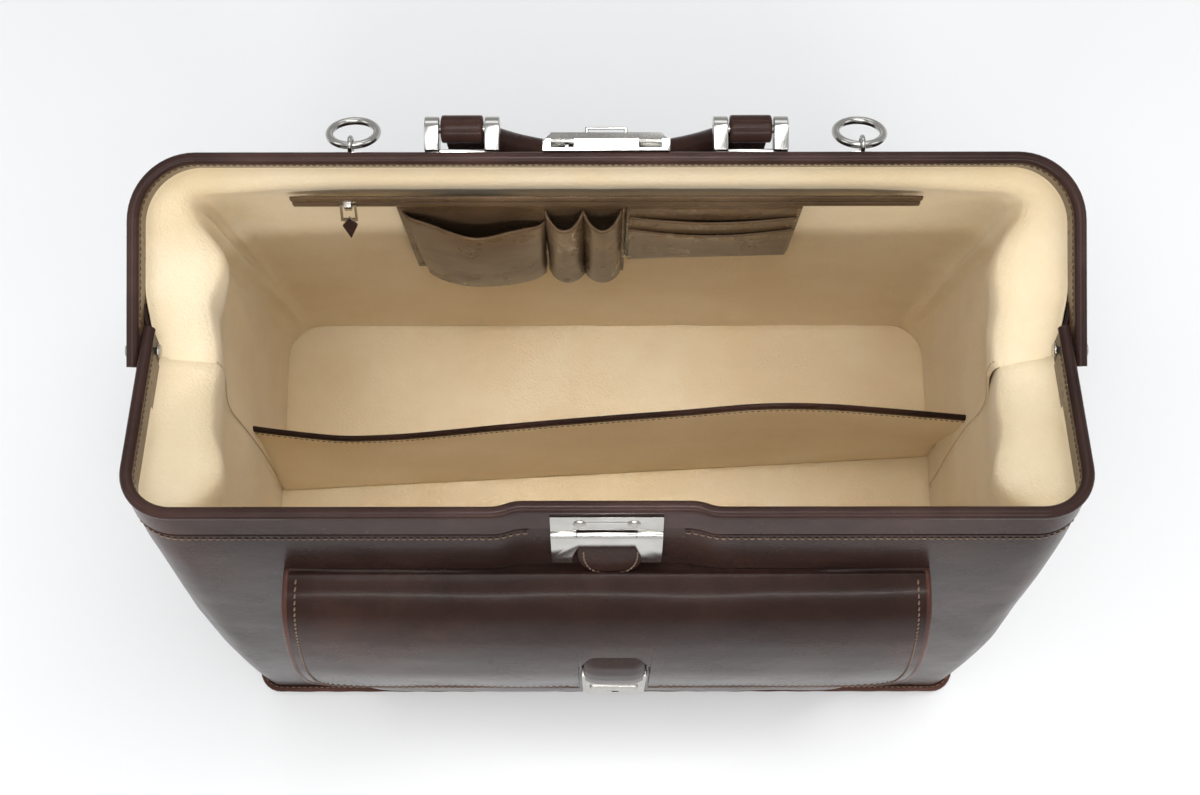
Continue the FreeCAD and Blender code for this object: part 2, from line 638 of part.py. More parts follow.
def make_lock_plate():
    """Fixed leaf, hinged hasp with two feet, their pin and the leather tab behind them."""
    face, half, width = bar_face(True), cell("lock_width") / 2, cell("strip_width")
    sheet_metal, knuckle, bore = 1.6, 1.9, 0.9
    axis_r, axis_n = face + 1.9, -(width + 2.2)
    leaf = box("leaf_plate", (-half, face, -width), (half, face + sheet_metal, -6.3))
    web = box("leaf_web", (-half, face + 0.4, axis_n), (half, face + sheet_metal, -width + 0.5))
    outer = [rod("leaf_knuckle_%d" % k, knuckle, half - 14, (x, axis_r, axis_n))
             for k, x in enumerate((-half, 14))]
    gap = box("leaf_gap", (-14, face - 1, axis_n - 3), (14, face + 5, axis_n + 3.6))
    hole = rod("leaf_hole", bore, 2 * half, (-half, axis_r, axis_n))
    holes = [rod("rivet_hole_%d" % k, 1.7, 4, (x, face - 1, -12.5), "y") for k, x in enumerate((-12.5, 12.5))]
    solid = fuse("leaf_fuse", leaf, web, *outer)
    keep(cut("leaf_cut", solid, fuse("leaf_tools", gap, hole, *holes)), "lock_plate", FRONT)

    heads = []
    for number, x in enumerate((-12.5, 12.5)):
        shank = rod("plate_shank_%d" % number, 1.7, sheet_metal, (x, face, -12.5), "y")
        head = doc.addObject("Part::Cone", "plate_head_%d" % number)
        bind(head, "Radius1", 3.2)
        bind(head, "Radius2", 2.0)
        bind(head, "Height", 0.9)
        head.Placement = FreeCAD.Placement(FreeCAD.Vector(), TURNS["y"])
        place(head, x, face + sheet_metal, -12.5)
        heads.append(fuse("plate_rivet_%d" % number, shank, head))
    keep(group("plate_heads", *heads), "plate_rivets", FRONT)
    keep(group("pin_group", rod("hasp_pin_rod", bore, 2 * half, (-half, axis_r, axis_n))), "hasp_pin", FRONT)

    reach = 27.8
    plate = box("hasp_plate", (-half, axis_r - 0.8, axis_n - reach + 4), (half, axis_r + 0.8, axis_n - 2.4))
    neck = box("hasp_neck", (-13.6, axis_r - 0.8, axis_n - 3), (13.6, axis_r + 0.8, axis_n))
    barrel = rod("hasp_knuckle", knuckle, 27.2, (-13.6, axis_r, axis_n))
    tip = axis_n - reach
    feet = [box("hasp_foot_%d" % k, (x - 4.7, axis_r - 0.8, tip), (x + 4.7, axis_r + 0.8, tip + 5))
            for k, x in enumerate((-21, 21))]
    corners = [(-13.2, axis_n - 11), (-16.2, axis_n - 21), (-16.2, axis_n - reach - 1),
               (16.2, axis_n - reach - 1), (16.2, axis_n - 21), (13.2, axis_n - 11)]
    mouth = prism("hasp_mouth", "XZ_Plane", corners, 6, middle=False, lift=-(axis_r + 3))
    bore_tool = rod("hasp_bore", bore + cell("running_gap"), 40, (-20, axis_r, axis_n))
    solid = fuse("hasp_fuse", plate, neck, barrel, *feet)
    keep(cut("hasp_cut", solid, fuse("hasp_tools", mouth, bore_tool)), "lock_hasp", FRONT)


def make_tab():
    """Half-round leather tab that keeps the hasp off the front wall."""
    radius, thick, middle, centre = 15, 1.2, 1.5, -20.5
    corners = [(middle - radius, centre), (middle, centre - radius), (middle + radius, centre),
               (middle + radius, centre + 9), (middle - radius, centre + 9)]
    tab = prism("tab", "XZ_Plane", corners, thick, {0: (radius, 1), 1: (radius, 1)}, middle=False, lift=0.4)
    keep(tab, "lock_tab", FRONT_WALL)


# ---------------------------------------------------------------- rear lock half
def make_lock_case():
    """Case with two slots, the bolt bar inside and its finger bail."""
    face, width = bar_face(False), cell("strip_width")
    half, tall = cell("case_width") / 2, cell("case_height")
    skin = 1.2
    corners = [(-half, face), (half, face), (half, face + tall - 4), (half - 4, face + tall),
               (-half + 4, face + tall), (-half, face + tall - 4)]
    shell = prism("case_shell", "XY_Plane", corners, width - 6.3, middle=False, lift=-width)
    crown = box("case_crown", (-half, face + 1.2, -6.4), (half, face + tall - 4, -0.2))
    hollow = box("case_hollow", (-half + skin, face + skin + 1.0, -width + skin),
                 (half - skin, face + tall - 4 - skin, -0.2 - skin))
    slots = [box("case_slot_%d" % k, (x - 5.6, face + 2.7, -4), (x + 5.6, face + 6.9, 1))
             for k, x in enumerate((-21, 21))]
    rails = [box("case_rail_%d" % k, (x - 1.2, face + tall - 6, -13.6), (x + 6.6, face + tall + 1, -11.4))
             for k, x in enumerate((-10.3, 8.7))]
    solid = fuse("case_fuse", shell, crown)
    keep(cut("case_cut", solid, fuse("case_tools", hollow, *slots, *rails)), "lock_case", REAR)

    bar = box("bolt_plate", (-20, face + 2.8, -14.5), (16, face + 5.2, -10.5))
    hooks = [box("bolt_hook_%d" % k, (x - 2, face + 2.8, -11), (x, face + 5.2, -6))
             for k, x in enumerate((-18, 16))]
    keep(fuse("bolt_fuse", bar, *hooks), "bolt_bar", REAR)
    legs = [box("bail_leg_%d" % k, (x, face + 5.2, -13.1), (x + 1.6, face + tall + 3.6, -11.9))
            for k, x in enumerate((-10.3, 8.7))]
    bridge = box("bail_bridge", (-10.3, face + tall + 2.2, -13.1), (10.3, face + tall + 3.6, -11.9))
    keep(fuse("bail_fuse", *legs, bridge), "lock_bail", REAR)


# ---------------------------------------------------------------- handle
def make_handle():
    face, width = bar_face(False), cell("strip_width")
    shift, half = cell("bracket_shift"), cell("bracket_width") / 2
    reach, level, pin = cell("pin_reach"), -9, cell("pin_radius")
    prong = 7
    for hand, side in (("left", -1), ("right", 1)):
        middle = side * shift
        foot = box(hand + "_foot", (middle - half, face, -17), (middle + half, face + 3, -6.3))
        prongs = [box("%s_prong_%d" % (hand, k), (x, face + 2, -15), (x + prong, reach, -3))
                  for k, x in enumerate((middle - half, middle + half - prong))]
        noses = [rod("%s_nose_%d" % (hand, k), 6, prong, (x, reach, level))
                 for k, x in enumerate((middle - half, middle + half - prong))]
        hole = rod(hand + "_pin_hole", pin, 2 * half, (middle - half, reach, level))
        solid = fuse(hand + "_bracket_fuse", foot, *prongs, *noses)
        keep(cut(hand + "_bracket_cut", solid, hole), "handle_bracket_" + hand, REAR)
    pins = [rod("handle_pin_%d" % k, pin, 2 * half - 1, (side * shift - half + 0.5, reach, level))
            for k, side in enumerate((-1, 1))]
    keep(group("handle_pin_group", *pins), "bracket_pins", REAR)

    rest = FreeCAD.Placement(FreeCAD.Vector(0, reach.value, level), FreeCAD.Rotation(about_x, HANDLE_REST))
    carrier = REAR.multiply(rest)
    grip_radius, core_radius, span, rise, low = 7.5, 2.4, 58, 26, 14
    arch = (span ** 2 + rise ** 2) / (2 * rise)
    sweep = math.degrees(math.asin(span / arch))

    def arch_ring(label, radius):
        """Part of a ring, opening towards the pins."""
        ring = doc.addObject("Part::Torus", label)
        ring.Radius1, ring.Radius2 = arch, radius
        ring.Angle3 = 2 * sweep
        turn = FreeCAD.Rotation(about_x, 90).multiply(FreeCAD.Rotation(FreeCAD.Vector(0, 0, 1), -90 - sweep))
        ring.Placement = FreeCAD.Placement(FreeCAD.Vector(0, 0, arch - rise - low), turn)
        return ring

    rolls = [rod("handle_roll_%d" % k, cell("roll_radius"), 20.4, (side * shift - 10.2, 0, 0))
             for k, side in enumerate((-1, 1))]
    straps = [box("handle_strap_%d" % k, (x, -5, -17), (x + 18, 5, 0))
              for k, x in enumerate((-shift + 2 - 10.2, shift - 2 - 7.8))]
    holes = [rod("handle_bore_%d" % k, pin + cell("running_gap"), 26, (side * shift - 13, 0, 0))
             for k, side in enumerate((-1, 1))]
    solid = fuse("handle_fuse", arch_ring("handle_arch", grip_radius), *rolls, *straps)
    tools = fuse("handle_tools", arch_ring("handle_core_space", core_radius), *holes)
    keep(cut("handle_cut", solid, tools), "handle_leather", carrier)
    keep(group("core_group", arch_ring("core_arch", core_radius)), "handle_core", carrier)


def make_rings():
    """Strap rings, each in an eye on the rear bar."""
    face, shift = bar_face(False), cell("ring_shift")
    radius, wire = cell("ring_radius"), cell("ring_wire")
    level, eye, eye_wire = -9, 3.7, 1.2
    reach = face + 1.5 + eye
    for hand, side in (("left", -1), ("right", 1)):
        middle = side * shift
        plate = box(hand + "_ring_plate", (middle - 7, face, -17), (middle + 7, face + 1.6, -6.3))
        loop = doc.addObject("Part::Torus", hand + "_ring_eye")
        bind(loop, "Radius1", eye)
        bind(loop, "Radius2", eye_wire)
        loop.Placement = FreeCAD.Placement(FreeCAD.Vector(), TURNS["x"])
        place(loop, middle, reach, level)
        keep(fuse(hand + "_ring_fuse", plate, loop), "ring_staple_" + hand, REAR)
        ring = doc.addObject("Part::Torus", hand + "_ring_body")
        bind(ring, "Radius1", radius)
        bind(ring, "Radius2", wire)
        place(ring, middle, radius, 0)
        tip = FreeCAD.Placement(FreeCAD.Vector(0, reach.value, level), FreeCAD.Rotation(about_x, RING_REST))
        keep(group(hand + "_ring_group", ring), "ring_" + hand, REAR.multiply(tip))


make_base()
make_walls()
make_divider()
make_organiser()
make_pocket()
rear_half = cell("frame_width") / 2 - cell("bead_radius")
make_frame("front", rear_half - cell("frame_nesting"), True, FRONT)
make_frame("rear", rear_half, False, REAR)
make_rivets()
make_lock_plate()
make_tab()
make_lock_case()
make_handle()
make_rings()
doc.recompute()

# ---------------------------------------------------------------- check and write
failed = [thing.Name for thing in doc.Objects if {"Invalid", "Error"} & set(thing.State)]
if failed:
    raise RuntimeError("failed objects: %s" % failed)
os.makedirs("parts", exist_ok=True)
for piece in sub_parts:
    shape = piece.Shape
    if shape.isNull() or not shape.isValid() or not shape.Solids:
        raise RuntimeError("bad shape in " + piece.Label)
    shape.exportStep("parts/%s.step" % piece.Label)
    print("%-24s %d solid(s) %10.1f mm3" % (piece.Label, len(shape.Solids), shape.Volume))
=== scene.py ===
import json
import math

import bmesh
import bpy
from mathutils import Matrix, Vector, noise


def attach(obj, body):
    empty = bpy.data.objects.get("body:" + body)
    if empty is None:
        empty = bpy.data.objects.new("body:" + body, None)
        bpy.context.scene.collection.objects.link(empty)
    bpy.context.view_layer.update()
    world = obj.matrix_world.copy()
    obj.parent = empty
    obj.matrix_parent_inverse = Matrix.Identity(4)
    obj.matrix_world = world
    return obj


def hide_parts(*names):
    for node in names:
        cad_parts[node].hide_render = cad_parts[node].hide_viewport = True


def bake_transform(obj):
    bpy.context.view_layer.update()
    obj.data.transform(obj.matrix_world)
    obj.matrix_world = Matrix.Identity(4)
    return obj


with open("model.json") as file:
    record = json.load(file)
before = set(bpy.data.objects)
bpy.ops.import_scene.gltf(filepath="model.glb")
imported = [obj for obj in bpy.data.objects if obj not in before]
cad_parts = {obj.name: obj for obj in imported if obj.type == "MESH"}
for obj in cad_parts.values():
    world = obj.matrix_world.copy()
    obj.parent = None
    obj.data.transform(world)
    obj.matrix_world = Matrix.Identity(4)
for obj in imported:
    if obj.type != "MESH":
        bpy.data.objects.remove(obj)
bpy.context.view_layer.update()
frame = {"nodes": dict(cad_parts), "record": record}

MM = 0.001
BODIES = frame["record"]["behaviour"]["bodies"]
BODY_OF = {node: body for body, nodes in BODIES.items() for node in nodes}

# The mouth frames' own axes: x across, r out from the hinge pin, n towards the mating edge (mm).
TILT = math.radians(15.5)
COS, SIN = math.cos(TILT), math.sin(TILT)
HINGE = Vector((0, 3.9, 313.5))
MATING_EDGE = 9.8
REACH = 92.0
BEND = {-1: 23.0, 1: 30.0}
HALF = {-1: 220.4, 1: 227.0}
# The walls lean from their foot at the floor to their lip under the frames.
FOOT, FLOOR = 122.5, 9.0
LIP = {-1: 87.6, 1: 97.2}
LIP_HEIGHT = 326.8
REAR_LINING = 93.2


def smooth(t):
    t = min(max(t, 0.0), 1.0)
    return t * t * (3 - 2 * t)


def seat(side, x, r, n):
    """World place, in mm, of a point on the front (-1) or rear (1) frame."""
    n += MATING_EDGE
    return Vector((x, HINGE.y + side * (r * COS - n * SIN), HINGE.z + r * SIN + n * COS))


def jog(side, x):
    """How far the front bar steps back behind the lock."""
    return 3.0 * smooth((53 - abs(x)) / 15) if side < 0 else 0.0


def bow(side, s, offset, start=0.0):
    """x and r on a frame's U.

    s runs 0-1 up the left arm, 1-2 round its corner, 2-4 along the bar and 4-6 back the same way.
    offset is mm outside the frame's line, and start is where on the arm the line begins.
    """
    if s > 3:
        x, r = bow(side, 6 - s, offset, start)
        return -x, r
    half, bend = HALF[side], BEND[side]
    if s <= 1:
        return -(half + offset), start + (REACH - bend - start) * s
    if s <= 2:
        angle = math.pi - (s - 1) * math.pi / 2
        return (-(half - bend) + (bend + offset) * math.cos(angle),
                REACH - bend + (bend + offset) * math.sin(angle))
    x = -(half - bend) * (3 - s)
    return x, REACH + offset - jog(side, x)


def foot_path(side, s, half_x, half_y, corner, z):
    """The matching point on the base outline."""
    if s > 3:
        p = foot_path(side, 6 - s, half_x, half_y, corner, z)
        return Vector((-p.x, p.y, p.z))
    if s <= 1:
        return Vector((-half_x, HINGE.y + (side * (half_y - corner) - HINGE.y) * s, z))
    if s <= 2:
        angle = (s - 1) * math.pi / 2
        return Vector((-half_x + corner - corner * math.cos(angle),
                       side * (half_y - corner + corner * math.sin(angle)), z))
    return Vector((-(half_x - corner) * (3 - s), side * half_y, z))


# ---------------------------------------------------------------- meshes
def obj_from(name, verts, faces, material, soft=True):
    mesh = bpy.data.meshes.new(name)
    mesh.from_pydata([tuple(c * MM for c in v) for v in verts], [], faces)
    bm = bmesh.new()
    bm.from_mesh(mesh)
    bmesh.ops.recalc_face_normals(bm, faces=bm.faces)
    bm.to_mesh(mesh)
    bm.free()
    mesh.materials.append(material)
    obj = bpy.data.objects.new(name, mesh)
    bpy.context.scene.collection.objects.link(obj)
    for face in mesh.polygons:
        face.use_smooth = soft
    return obj


def grid_normals(rows):
    out = []
    last, end = len(rows) - 1, len(rows[0]) - 1
    for i, row in enumerate(rows):
        line = []
        for j in range(len(row)):
            down = rows[min(i + 1, last)][j] - rows[max(i - 1, 0)][j]
            along = row[min(j + 1, end)] - row[max(j - 1, 0)]
            n = along.cross(down)
            line.append(n.normalized() if n.length > 1e-9 else Vector((0, 0, 1)))
        out.append(line)
    return out


def skin(name, rows, thick, material, flip=False, roll=True, far=None):
    """A sheet with thickness and a rounded rim. It thickens away from the side its normals face.

    far gives the points of the other side where they are already known.
    """
    normals = grid_normals(rows)
    sign = -1 if flip else 1
    count = len(rows[0])
    verts, faces = [], []
    for row, line in zip(rows, normals):
        verts += row
    for k, (row, line) in enumerate(zip(rows, normals)):
        verts += far[k] if far else [p - n * thick * sign for p, n in zip(row, line)]
    back = len(rows) * count
    for i in range(len(rows) - 1):
        for j in range(count - 1):
            a = i * count + j
            faces.append((a, a + 1, a + count + 1, a + count))
            faces.append((back + a, back + a + count, back + a + count + 1, back + a + 1))
    rim = [j for j in range(count)]
    rim += [i * count + count - 1 for i in range(1, len(rows))]
    rim += [(len(rows) - 1) * count + j for j in range(count - 2, -1, -1)]
    rim += [i * count for i in range(len(rows) - 2, 0, -1)]
    inner = {}
    if roll:
        middle = sum((Vector(verts[k]) for k in rim), Vector()) / len(rim)
        for k in rim:
            inner[k] = len(verts)
            i, j = divmod(k, count)
            out = Vector()
            if i == 0:
                out += rows[0][j] - rows[1][j]
            if i == len(rows) - 1:
                out += rows[-1][j] - rows[-2][j]
            if j == 0:
                out += rows[i][0] - rows[i][1]
            if j == count - 1:
                out += rows[i][-1] - rows[i][-2]
            out = out.normalized() if out.length > 1e-9 else (verts[k] - middle).normalized()
            verts.append((verts[k] + verts[back + k]) / 2 + out * thick * 0.45)
    for k, a in enumerate(rim):
        b = rim[(k + 1) % len(rim)]
        if roll:
            faces.append((a, b, inner[b], inner[a]))
            faces.append((inner[a], inner[b], back + b, back + a))
        else:
            faces.append((a, b, back + b, back + a))
    return obj_from(name, verts, faces, material)


def frames_along(points, closed=False):
    """Tangent, side and up at each point, carried along without twist."""
    out, count = [], len(points)
    up = None
    for k in range(count):
        if closed:
            t = points[(k + 1) % count] - points[k - 1]
        else:
            t = points[min(k + 1, count - 1)] - points[max(k - 1, 0)]
        t = t.normalized()
        if up is None:
            up = Vector((0, 0, 1)) if abs(t.z) < 0.9 else Vector((0, 1, 0))
        up = (up - t * up.dot(t)).normalized()
        out.append((t, t.cross(up), up))
    return out


def tube(name, points, radius, material, closed=False, sides=12, flat=1.0):
    """A round or flattened cord along points. radius may be a number or one per point."""
    verts, faces = [], []
    count = len(points)
    radii = radius if isinstance(radius, (list, tuple)) else [radius] * count
    for (t, side, up), p, rad in zip(frames_along(points, closed), points, radii):
        for k in range(sides):
            angle = 2 * math.pi * k / sides
            verts.append(p + side * rad * math.cos(angle) + up * rad * flat * math.sin(angle))
    for i in range(count if closed else count - 1):
        for k in range(sides):
            a, b = i * sides + k, i * sides + (k + 1) % sides
            c, d = ((i + 1) % count) * sides + k, ((i + 1) % count) * sides + (k + 1) % sides
            faces.append((a, b, d, c))
    if not closed:
        faces.append(tuple(range(sides - 1, -1, -1)))
        faces.append(tuple((count - 1) * sides + k for k in range(sides)))
    return obj_from(name, verts, faces, material)


def resample(points, pitch):
    """Evenly spaced points along a line."""
    lengths = [0.0]
    for a, b in zip(points, points[1:]):
        lengths.append(lengths[-1] + (b - a).length)
    steps = max(int(round(lengths[-1] / pitch)), 1)
    out, k = [], 0
    for i in range(steps + 1):
        target = lengths[-1] * i / steps
        while k < len(points) - 2 and lengths[k + 1] < target:
            k += 1
        span = lengths[k + 1] - lengths[k]
        out.append(points[k].lerp(points[k + 1], (target - lengths[k]) / span if span else 0))
    return out


# Rings along one stitch: where it stands on its length, how wide it is, how far it stands up.
STITCH_RINGS = ((-0.5, 0.25, -0.25), (-0.32, 0.9, 0.35), (0, 1.0, 0.55),
                (0.32, 0.9, 0.35), (0.5, 0.25, -0.25))


def stitches(name, lines, material, out, pitch=3.6, length=2.5, width=0.42):
    """Sewing thread: short raised stitches along lines. out(p) is the way they stand up."""
    verts, faces = [], []
    for line in lines:
        spots = resample(line, pitch)
        for k, (a, b) in enumerate(zip(spots, spots[1:])):
            along = (b - a).normalized()
            middle = (a + b) / 2
            up = out(middle).normalized()
            across = along.cross(up).normalized()
            along = (along + across * 0.12).normalized()
            base = len(verts)
            for place, wide, high in STITCH_RINGS:
                centre = middle + along * length * place + up * width * high
                for q in range(6):
                    angle = q * math.pi / 3
                    verts.append(centre + across * width * wide * math.cos(angle)
                                 + up * width * wide * 0.8 * math.sin(angle))
            for r in range(4):
                for q in range(6):
                    c, d = base + r * 6 + q, base + r * 6 + (q + 1) % 6
                    faces.append((c, d, d + 6, c + 6))
            faces.append(tuple(base + q for q in range(5, -1, -1)))
            faces.append(tuple(base + 24 + q for q in range(6)))
    return obj_from(name, verts, faces, material)


def fine(node, width, material, segments=3):
    """A CAD piece with its edges eased. It takes the node's place on the node's own body."""
    source = frame["nodes"][node]
    mesh = source.data.copy()
    bm = bmesh.new()
    bm.from_mesh(mesh)
    bmesh.ops.remove_doubles(bm, verts=bm.verts, dist=1e-6)
    bmesh.ops.dissolve_limit(bm, angle_limit=math.radians(2), verts=bm.verts, edges=bm.edges)
    bm.to_mesh(mesh)
    bm.free()
    mesh.materials.clear()
    mesh.materials.append(material)
    obj = bpy.data.objects.new(node + "_piece", mesh)
    bpy.context.scene.collection.objects.link(obj)
    bevel = obj.modifiers.new("ease", "BEVEL")
    bevel.width = width * MM
    bevel.segments = segments
    bevel.limit_method = "ANGLE"
    bevel.angle_limit = math.radians(35)
    bake(obj)
    for face in obj.data.polygons:
        face.use_smooth = True
    obj.data.set_sharp_from_angle(angle=math.radians(38))
    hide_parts(node)
    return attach(obj, BODY_OF[node])


def bake(obj):
    """Applies an object's modifiers."""
    bpy.context.view_layer.update()
    deps = bpy.context.evaluated_depsgraph_get()
    mesh = bpy.data.meshes.new_from_object(obj.evaluated_get(deps))
    obj.modifiers.clear()
    obj.data = mesh


# ---------------------------------------------------------------- materials
def new_material(name):
    mat = bpy.data.materials.new(name)
    mat.use_nodes = True
    tree = mat.node_tree
    return mat, tree, tree.nodes["Principled BSDF"]


def srgb(*rgb):
    """A colour given as 0-255 screen values, in the linear values that Blender takes."""
    return tuple(((c / 255 + 0.055) / 1.055) ** 2.4 if c > 10 else c / 255 / 12.92 for c in rgb) + (1,)


def node(tree, kind, **values):
    """A shader node with its settings and inputs given by name."""
    made = tree.nodes.new(kind)
    for key, value in values.items():
        if hasattr(made, key):
            setattr(made, key, value)
        else:
            made.inputs[key].default_value = value
    return made


def noise_of(tree, scale, detail=4.0, rough=0.55, stretch=None):
    coords = node(tree, "ShaderNodeTexCoord")
    source = coords.outputs["Object"]
    if stretch:
        mapping = node(tree, "ShaderNodeMapping")
        mapping.inputs["Scale"].default_value = stretch
        tree.links.new(source, mapping.inputs["Vector"])
        source = mapping.outputs["Vector"]
    made = node(tree, "ShaderNodeTexNoise", Scale=scale, Detail=detail, Roughness=rough)
    tree.links.new(source, made.inputs["Vector"])
    return made


def ramp(tree, source, stops):
    made = node(tree, "ShaderNodeValToRGB")
    while len(made.color_ramp.elements) < len(stops):
        made.color_ramp.elements.new(0.5)
    for element, (place, colour) in zip(made.color_ramp.elements, stops):
        element.position = place
        element.color = colour
    tree.links.new(source, made.inputs["Fac"])
    return made


def leather(name, dark, mid, light, rough=(0.28, 0.42), grain=900, depth=0.12, coat=0.35, crease=0.25):
    """Polished leather: mottled colour, fine pores, larger creases, a waxed coat."""
    mat, tree, shader = new_material(name)
    mottle = noise_of(tree, 14, 5, 0.6)
    colour = ramp(tree, mottle.outputs["Fac"], ((0.28, srgb(*dark)), (0.5, srgb(*mid)), (0.74, srgb(*light))))
    tree.links.new(colour.outputs["Color"], shader.inputs["Base Color"])
    wear = noise_of(tree, 40, 6, 0.65)
    shine = node(tree, "ShaderNodeMapRange")
    shine.inputs["To Min"].default_value, shine.inputs["To Max"].default_value = rough
    tree.links.new(wear.outputs["Fac"], shine.inputs["Value"])
    tree.links.new(shine.outputs["Result"], shader.inputs["Roughness"])
    coords = node(tree, "ShaderNodeTexCoord")
    pores = node(tree, "ShaderNodeTexVoronoi", Scale=grain)
    tree.links.new(coords.outputs["Object"], pores.inputs["Vector"])
    folds = noise_of(tree, 55, 3, 0.5)
    fine_bump = node(tree, "ShaderNodeBump", Strength=depth, Distance=0.0004)
    tree.links.new(pores.outputs["Distance"], fine_bump.inputs["Height"])
    broad = node(tree, "ShaderNodeBump", Strength=crease, Distance=0.0012)
    tree.links.new(folds.outputs["Fac"], broad.inputs["Height"])
    tree.links.new(fine_bump.outputs["Normal"], broad.inputs["Normal"])
    tree.links.new(broad.outputs["Normal"], shader.inputs["Normal"])
    shader.inputs["Coat Weight"].default_value = coat
    shader.inputs["Coat Roughness"].default_value = 0.12
    shader.inputs["Coat IOR"].default_value = 1.25
    shader.inputs["IOR"].default_value = 1.2
    shader.inputs["Specular IOR Level"].default_value = 0.36
    return mat


def metal(name, colour, rough, brushed=0.0):
    """Plated metal with faint scuffs, or brushed along one way."""
    mat, tree, shader = new_material(name)
    shader.inputs["Metallic"].default_value = 1.0
    tint = noise_of(tree, 60, 4, 0.5)
    low = tuple(c * 0.9 for c in colour)
    shade = ramp(tree, tint.outputs["Fac"], ((0.3, srgb(*low)), (0.7, srgb(*colour))))
    tree.links.new(shade.outputs["Color"], shader.inputs["Base Color"])
    scuffs = noise_of(tree, 500, 5, 0.6, (1, 1, 12) if brushed else (6, 1, 1))
    shine = node(tree, "ShaderNodeMapRange")
    shine.inputs["To Min"].default_value = rough * 0.7
    shine.inputs["To Max"].default_value = rough * 1.4
    tree.links.new(scuffs.outputs["Fac"], shine.inputs["Value"])
    tree.links.new(shine.outputs["Result"], shader.inputs["Roughness"])
    bump = node(tree, "ShaderNodeBump", Strength=0.04 + brushed * 0.15, Distance=0.0002)
    tree.links.new(scuffs.outputs["Fac"], bump.inputs["Height"])
    tree.links.new(bump.outputs["Normal"], shader.inputs["Normal"])
    return mat


def cloth(name, dark, mid, light, grain=1400, depth=0.35, rough=0.72):
    """Matt lining with a fine pressed grain and soft discolouring."""
    mat = leather(name, dark, mid, light, (rough, rough + 0.14), grain, depth, 0.0, 0.5)
    shader = mat.node_tree.nodes["Principled BSDF"]
    shader.inputs["Sheen Weight"].default_value = 0.25
    shader.inputs["Sheen Roughness"].default_value = 0.5
    shader.inputs["Specular IOR Level"].default_value = 0.4
    return mat


BROWN = leather("brown_leather", (36, 24, 21), (48, 33, 29), (66, 45, 39), (0.20, 0.33), 1000, 0.10, 0.12)
BAND = leather("band_leather", (44, 30, 27), (58, 41, 37), (76, 55, 50), (0.20, 0.32), 1200, 0.08, 0.2)
# Brown leather coloured khaki: the beige lining's reflection in it is painted in.
BAND_PAINTED_REFLECTION = leather("inner_band_painted_reflection", (92, 74, 54), (108, 87, 64), (126, 102, 76),
                (0.22, 0.34), 1200, 0.08, 0.4)
DARK = leather("organiser_leather", (72, 56, 40), (90, 71, 52), (112, 90, 68),
               (0.22, 0.34), 1100, 0.12, 0.4)
EDGE = leather("edge_leather", (58, 36, 30), (78, 50, 42), (100, 68, 58), (0.34, 0.5), 1200, 0.15, 0.2)
LINING = cloth("lining_grain", (234, 214, 176), (240, 222, 188), (246, 231, 202), 700, 0.6)
THREAD = cloth("thread_tan", (98, 78, 62), (124, 100, 80), (146, 120, 98), 3000, 0.5, 0.6)
THREAD_DARK = cloth("thread_dark", (60, 44, 34), (78, 58, 44), (96, 74, 58), 3000, 0.5, 0.6)
THREAD_PALE = cloth("thread_pale", (176, 148, 108), (192, 164, 122), (206, 180, 140), 3000, 0.5, 0.6)
NICKEL = metal("nickel_polished_finish", (196, 194, 189), 0.16)
SATIN = metal("nickel_satin_finish", (186, 183, 177), 0.27, 1.0)
BRASS = metal("zip_teeth_finish", (150, 132, 104), 0.3)
STEEL = metal("plain_steel_finish", (140, 140, 140), 0.4, 1.0)
BOARD = cloth("board_finish", (80, 78, 74), (92, 90, 86), (104, 102, 98), 800, 0.3, 0.8)
ROPE = cloth("rope_finish", (170, 160, 140), (184, 174, 152), (198, 188, 166), 2200, 0.5, 0.8)

# ---------------------------------------------------------------- camera, light, floor
# The camera looks steeply down into the open mouth, from a little in front of it.
YAW, DOWN, ROLL = math.radians(-0.39), math.radians(74.0), math.radians(-0.43)
CAMERA_AT = Vector((-0.0016, -0.2466, 1.1049))
SENSOR = 36
FOCAL = 51.558
forward = Vector((math.sin(YAW) * math.cos(DOWN), math.cos(YAW) * math.cos(DOWN), -math.sin(DOWN)))
right = Vector((math.cos(YAW), -math.sin(YAW), 0))
upward = right.cross(forward)
cam_x = right * math.cos(ROLL) + upward * math.sin(ROLL)
cam_y = -right * math.sin(ROLL) + upward * math.cos(ROLL)
lens = bpy.data.cameras.new("camera")
lens.lens = FOCAL
lens.sensor_width = SENSOR
camera = bpy.data.objects.new("camera", lens)
camera.matrix_world = Matrix((
    (cam_x.x, cam_y.x, -forward.x, CAMERA_AT.x),
    (cam_x.y, cam_y.y, -forward.y, CAMERA_AT.y),
    (cam_x.z, cam_y.z, -forward.z, CAMERA_AT.z),
    (0, 0, 0, 1)))
bpy.context.scene.collection.objects.link(camera)
bpy.context.scene.camera = camera


def softbox(name, place, target, size, power, colour=(1, 1, 1), spread=180):
    """A rectangular lamp, size metres across, that faces target. spread is its cone in degrees."""
    data = bpy.data.lights.new(name, "AREA")
    data.spread = math.radians(spread)
    data.shape = "RECTANGLE"
    data.size, data.size_y = size
    data.energy = power
    data.color = colour
    lamp = bpy.data.objects.new(name, data)
    lamp.location = place
    lamp.rotation_euler = (Vector(target) - Vector(place)).to_track_quat("-Z", "Y").to_euler()
    bpy.context.scene.collection.objects.link(lamp)


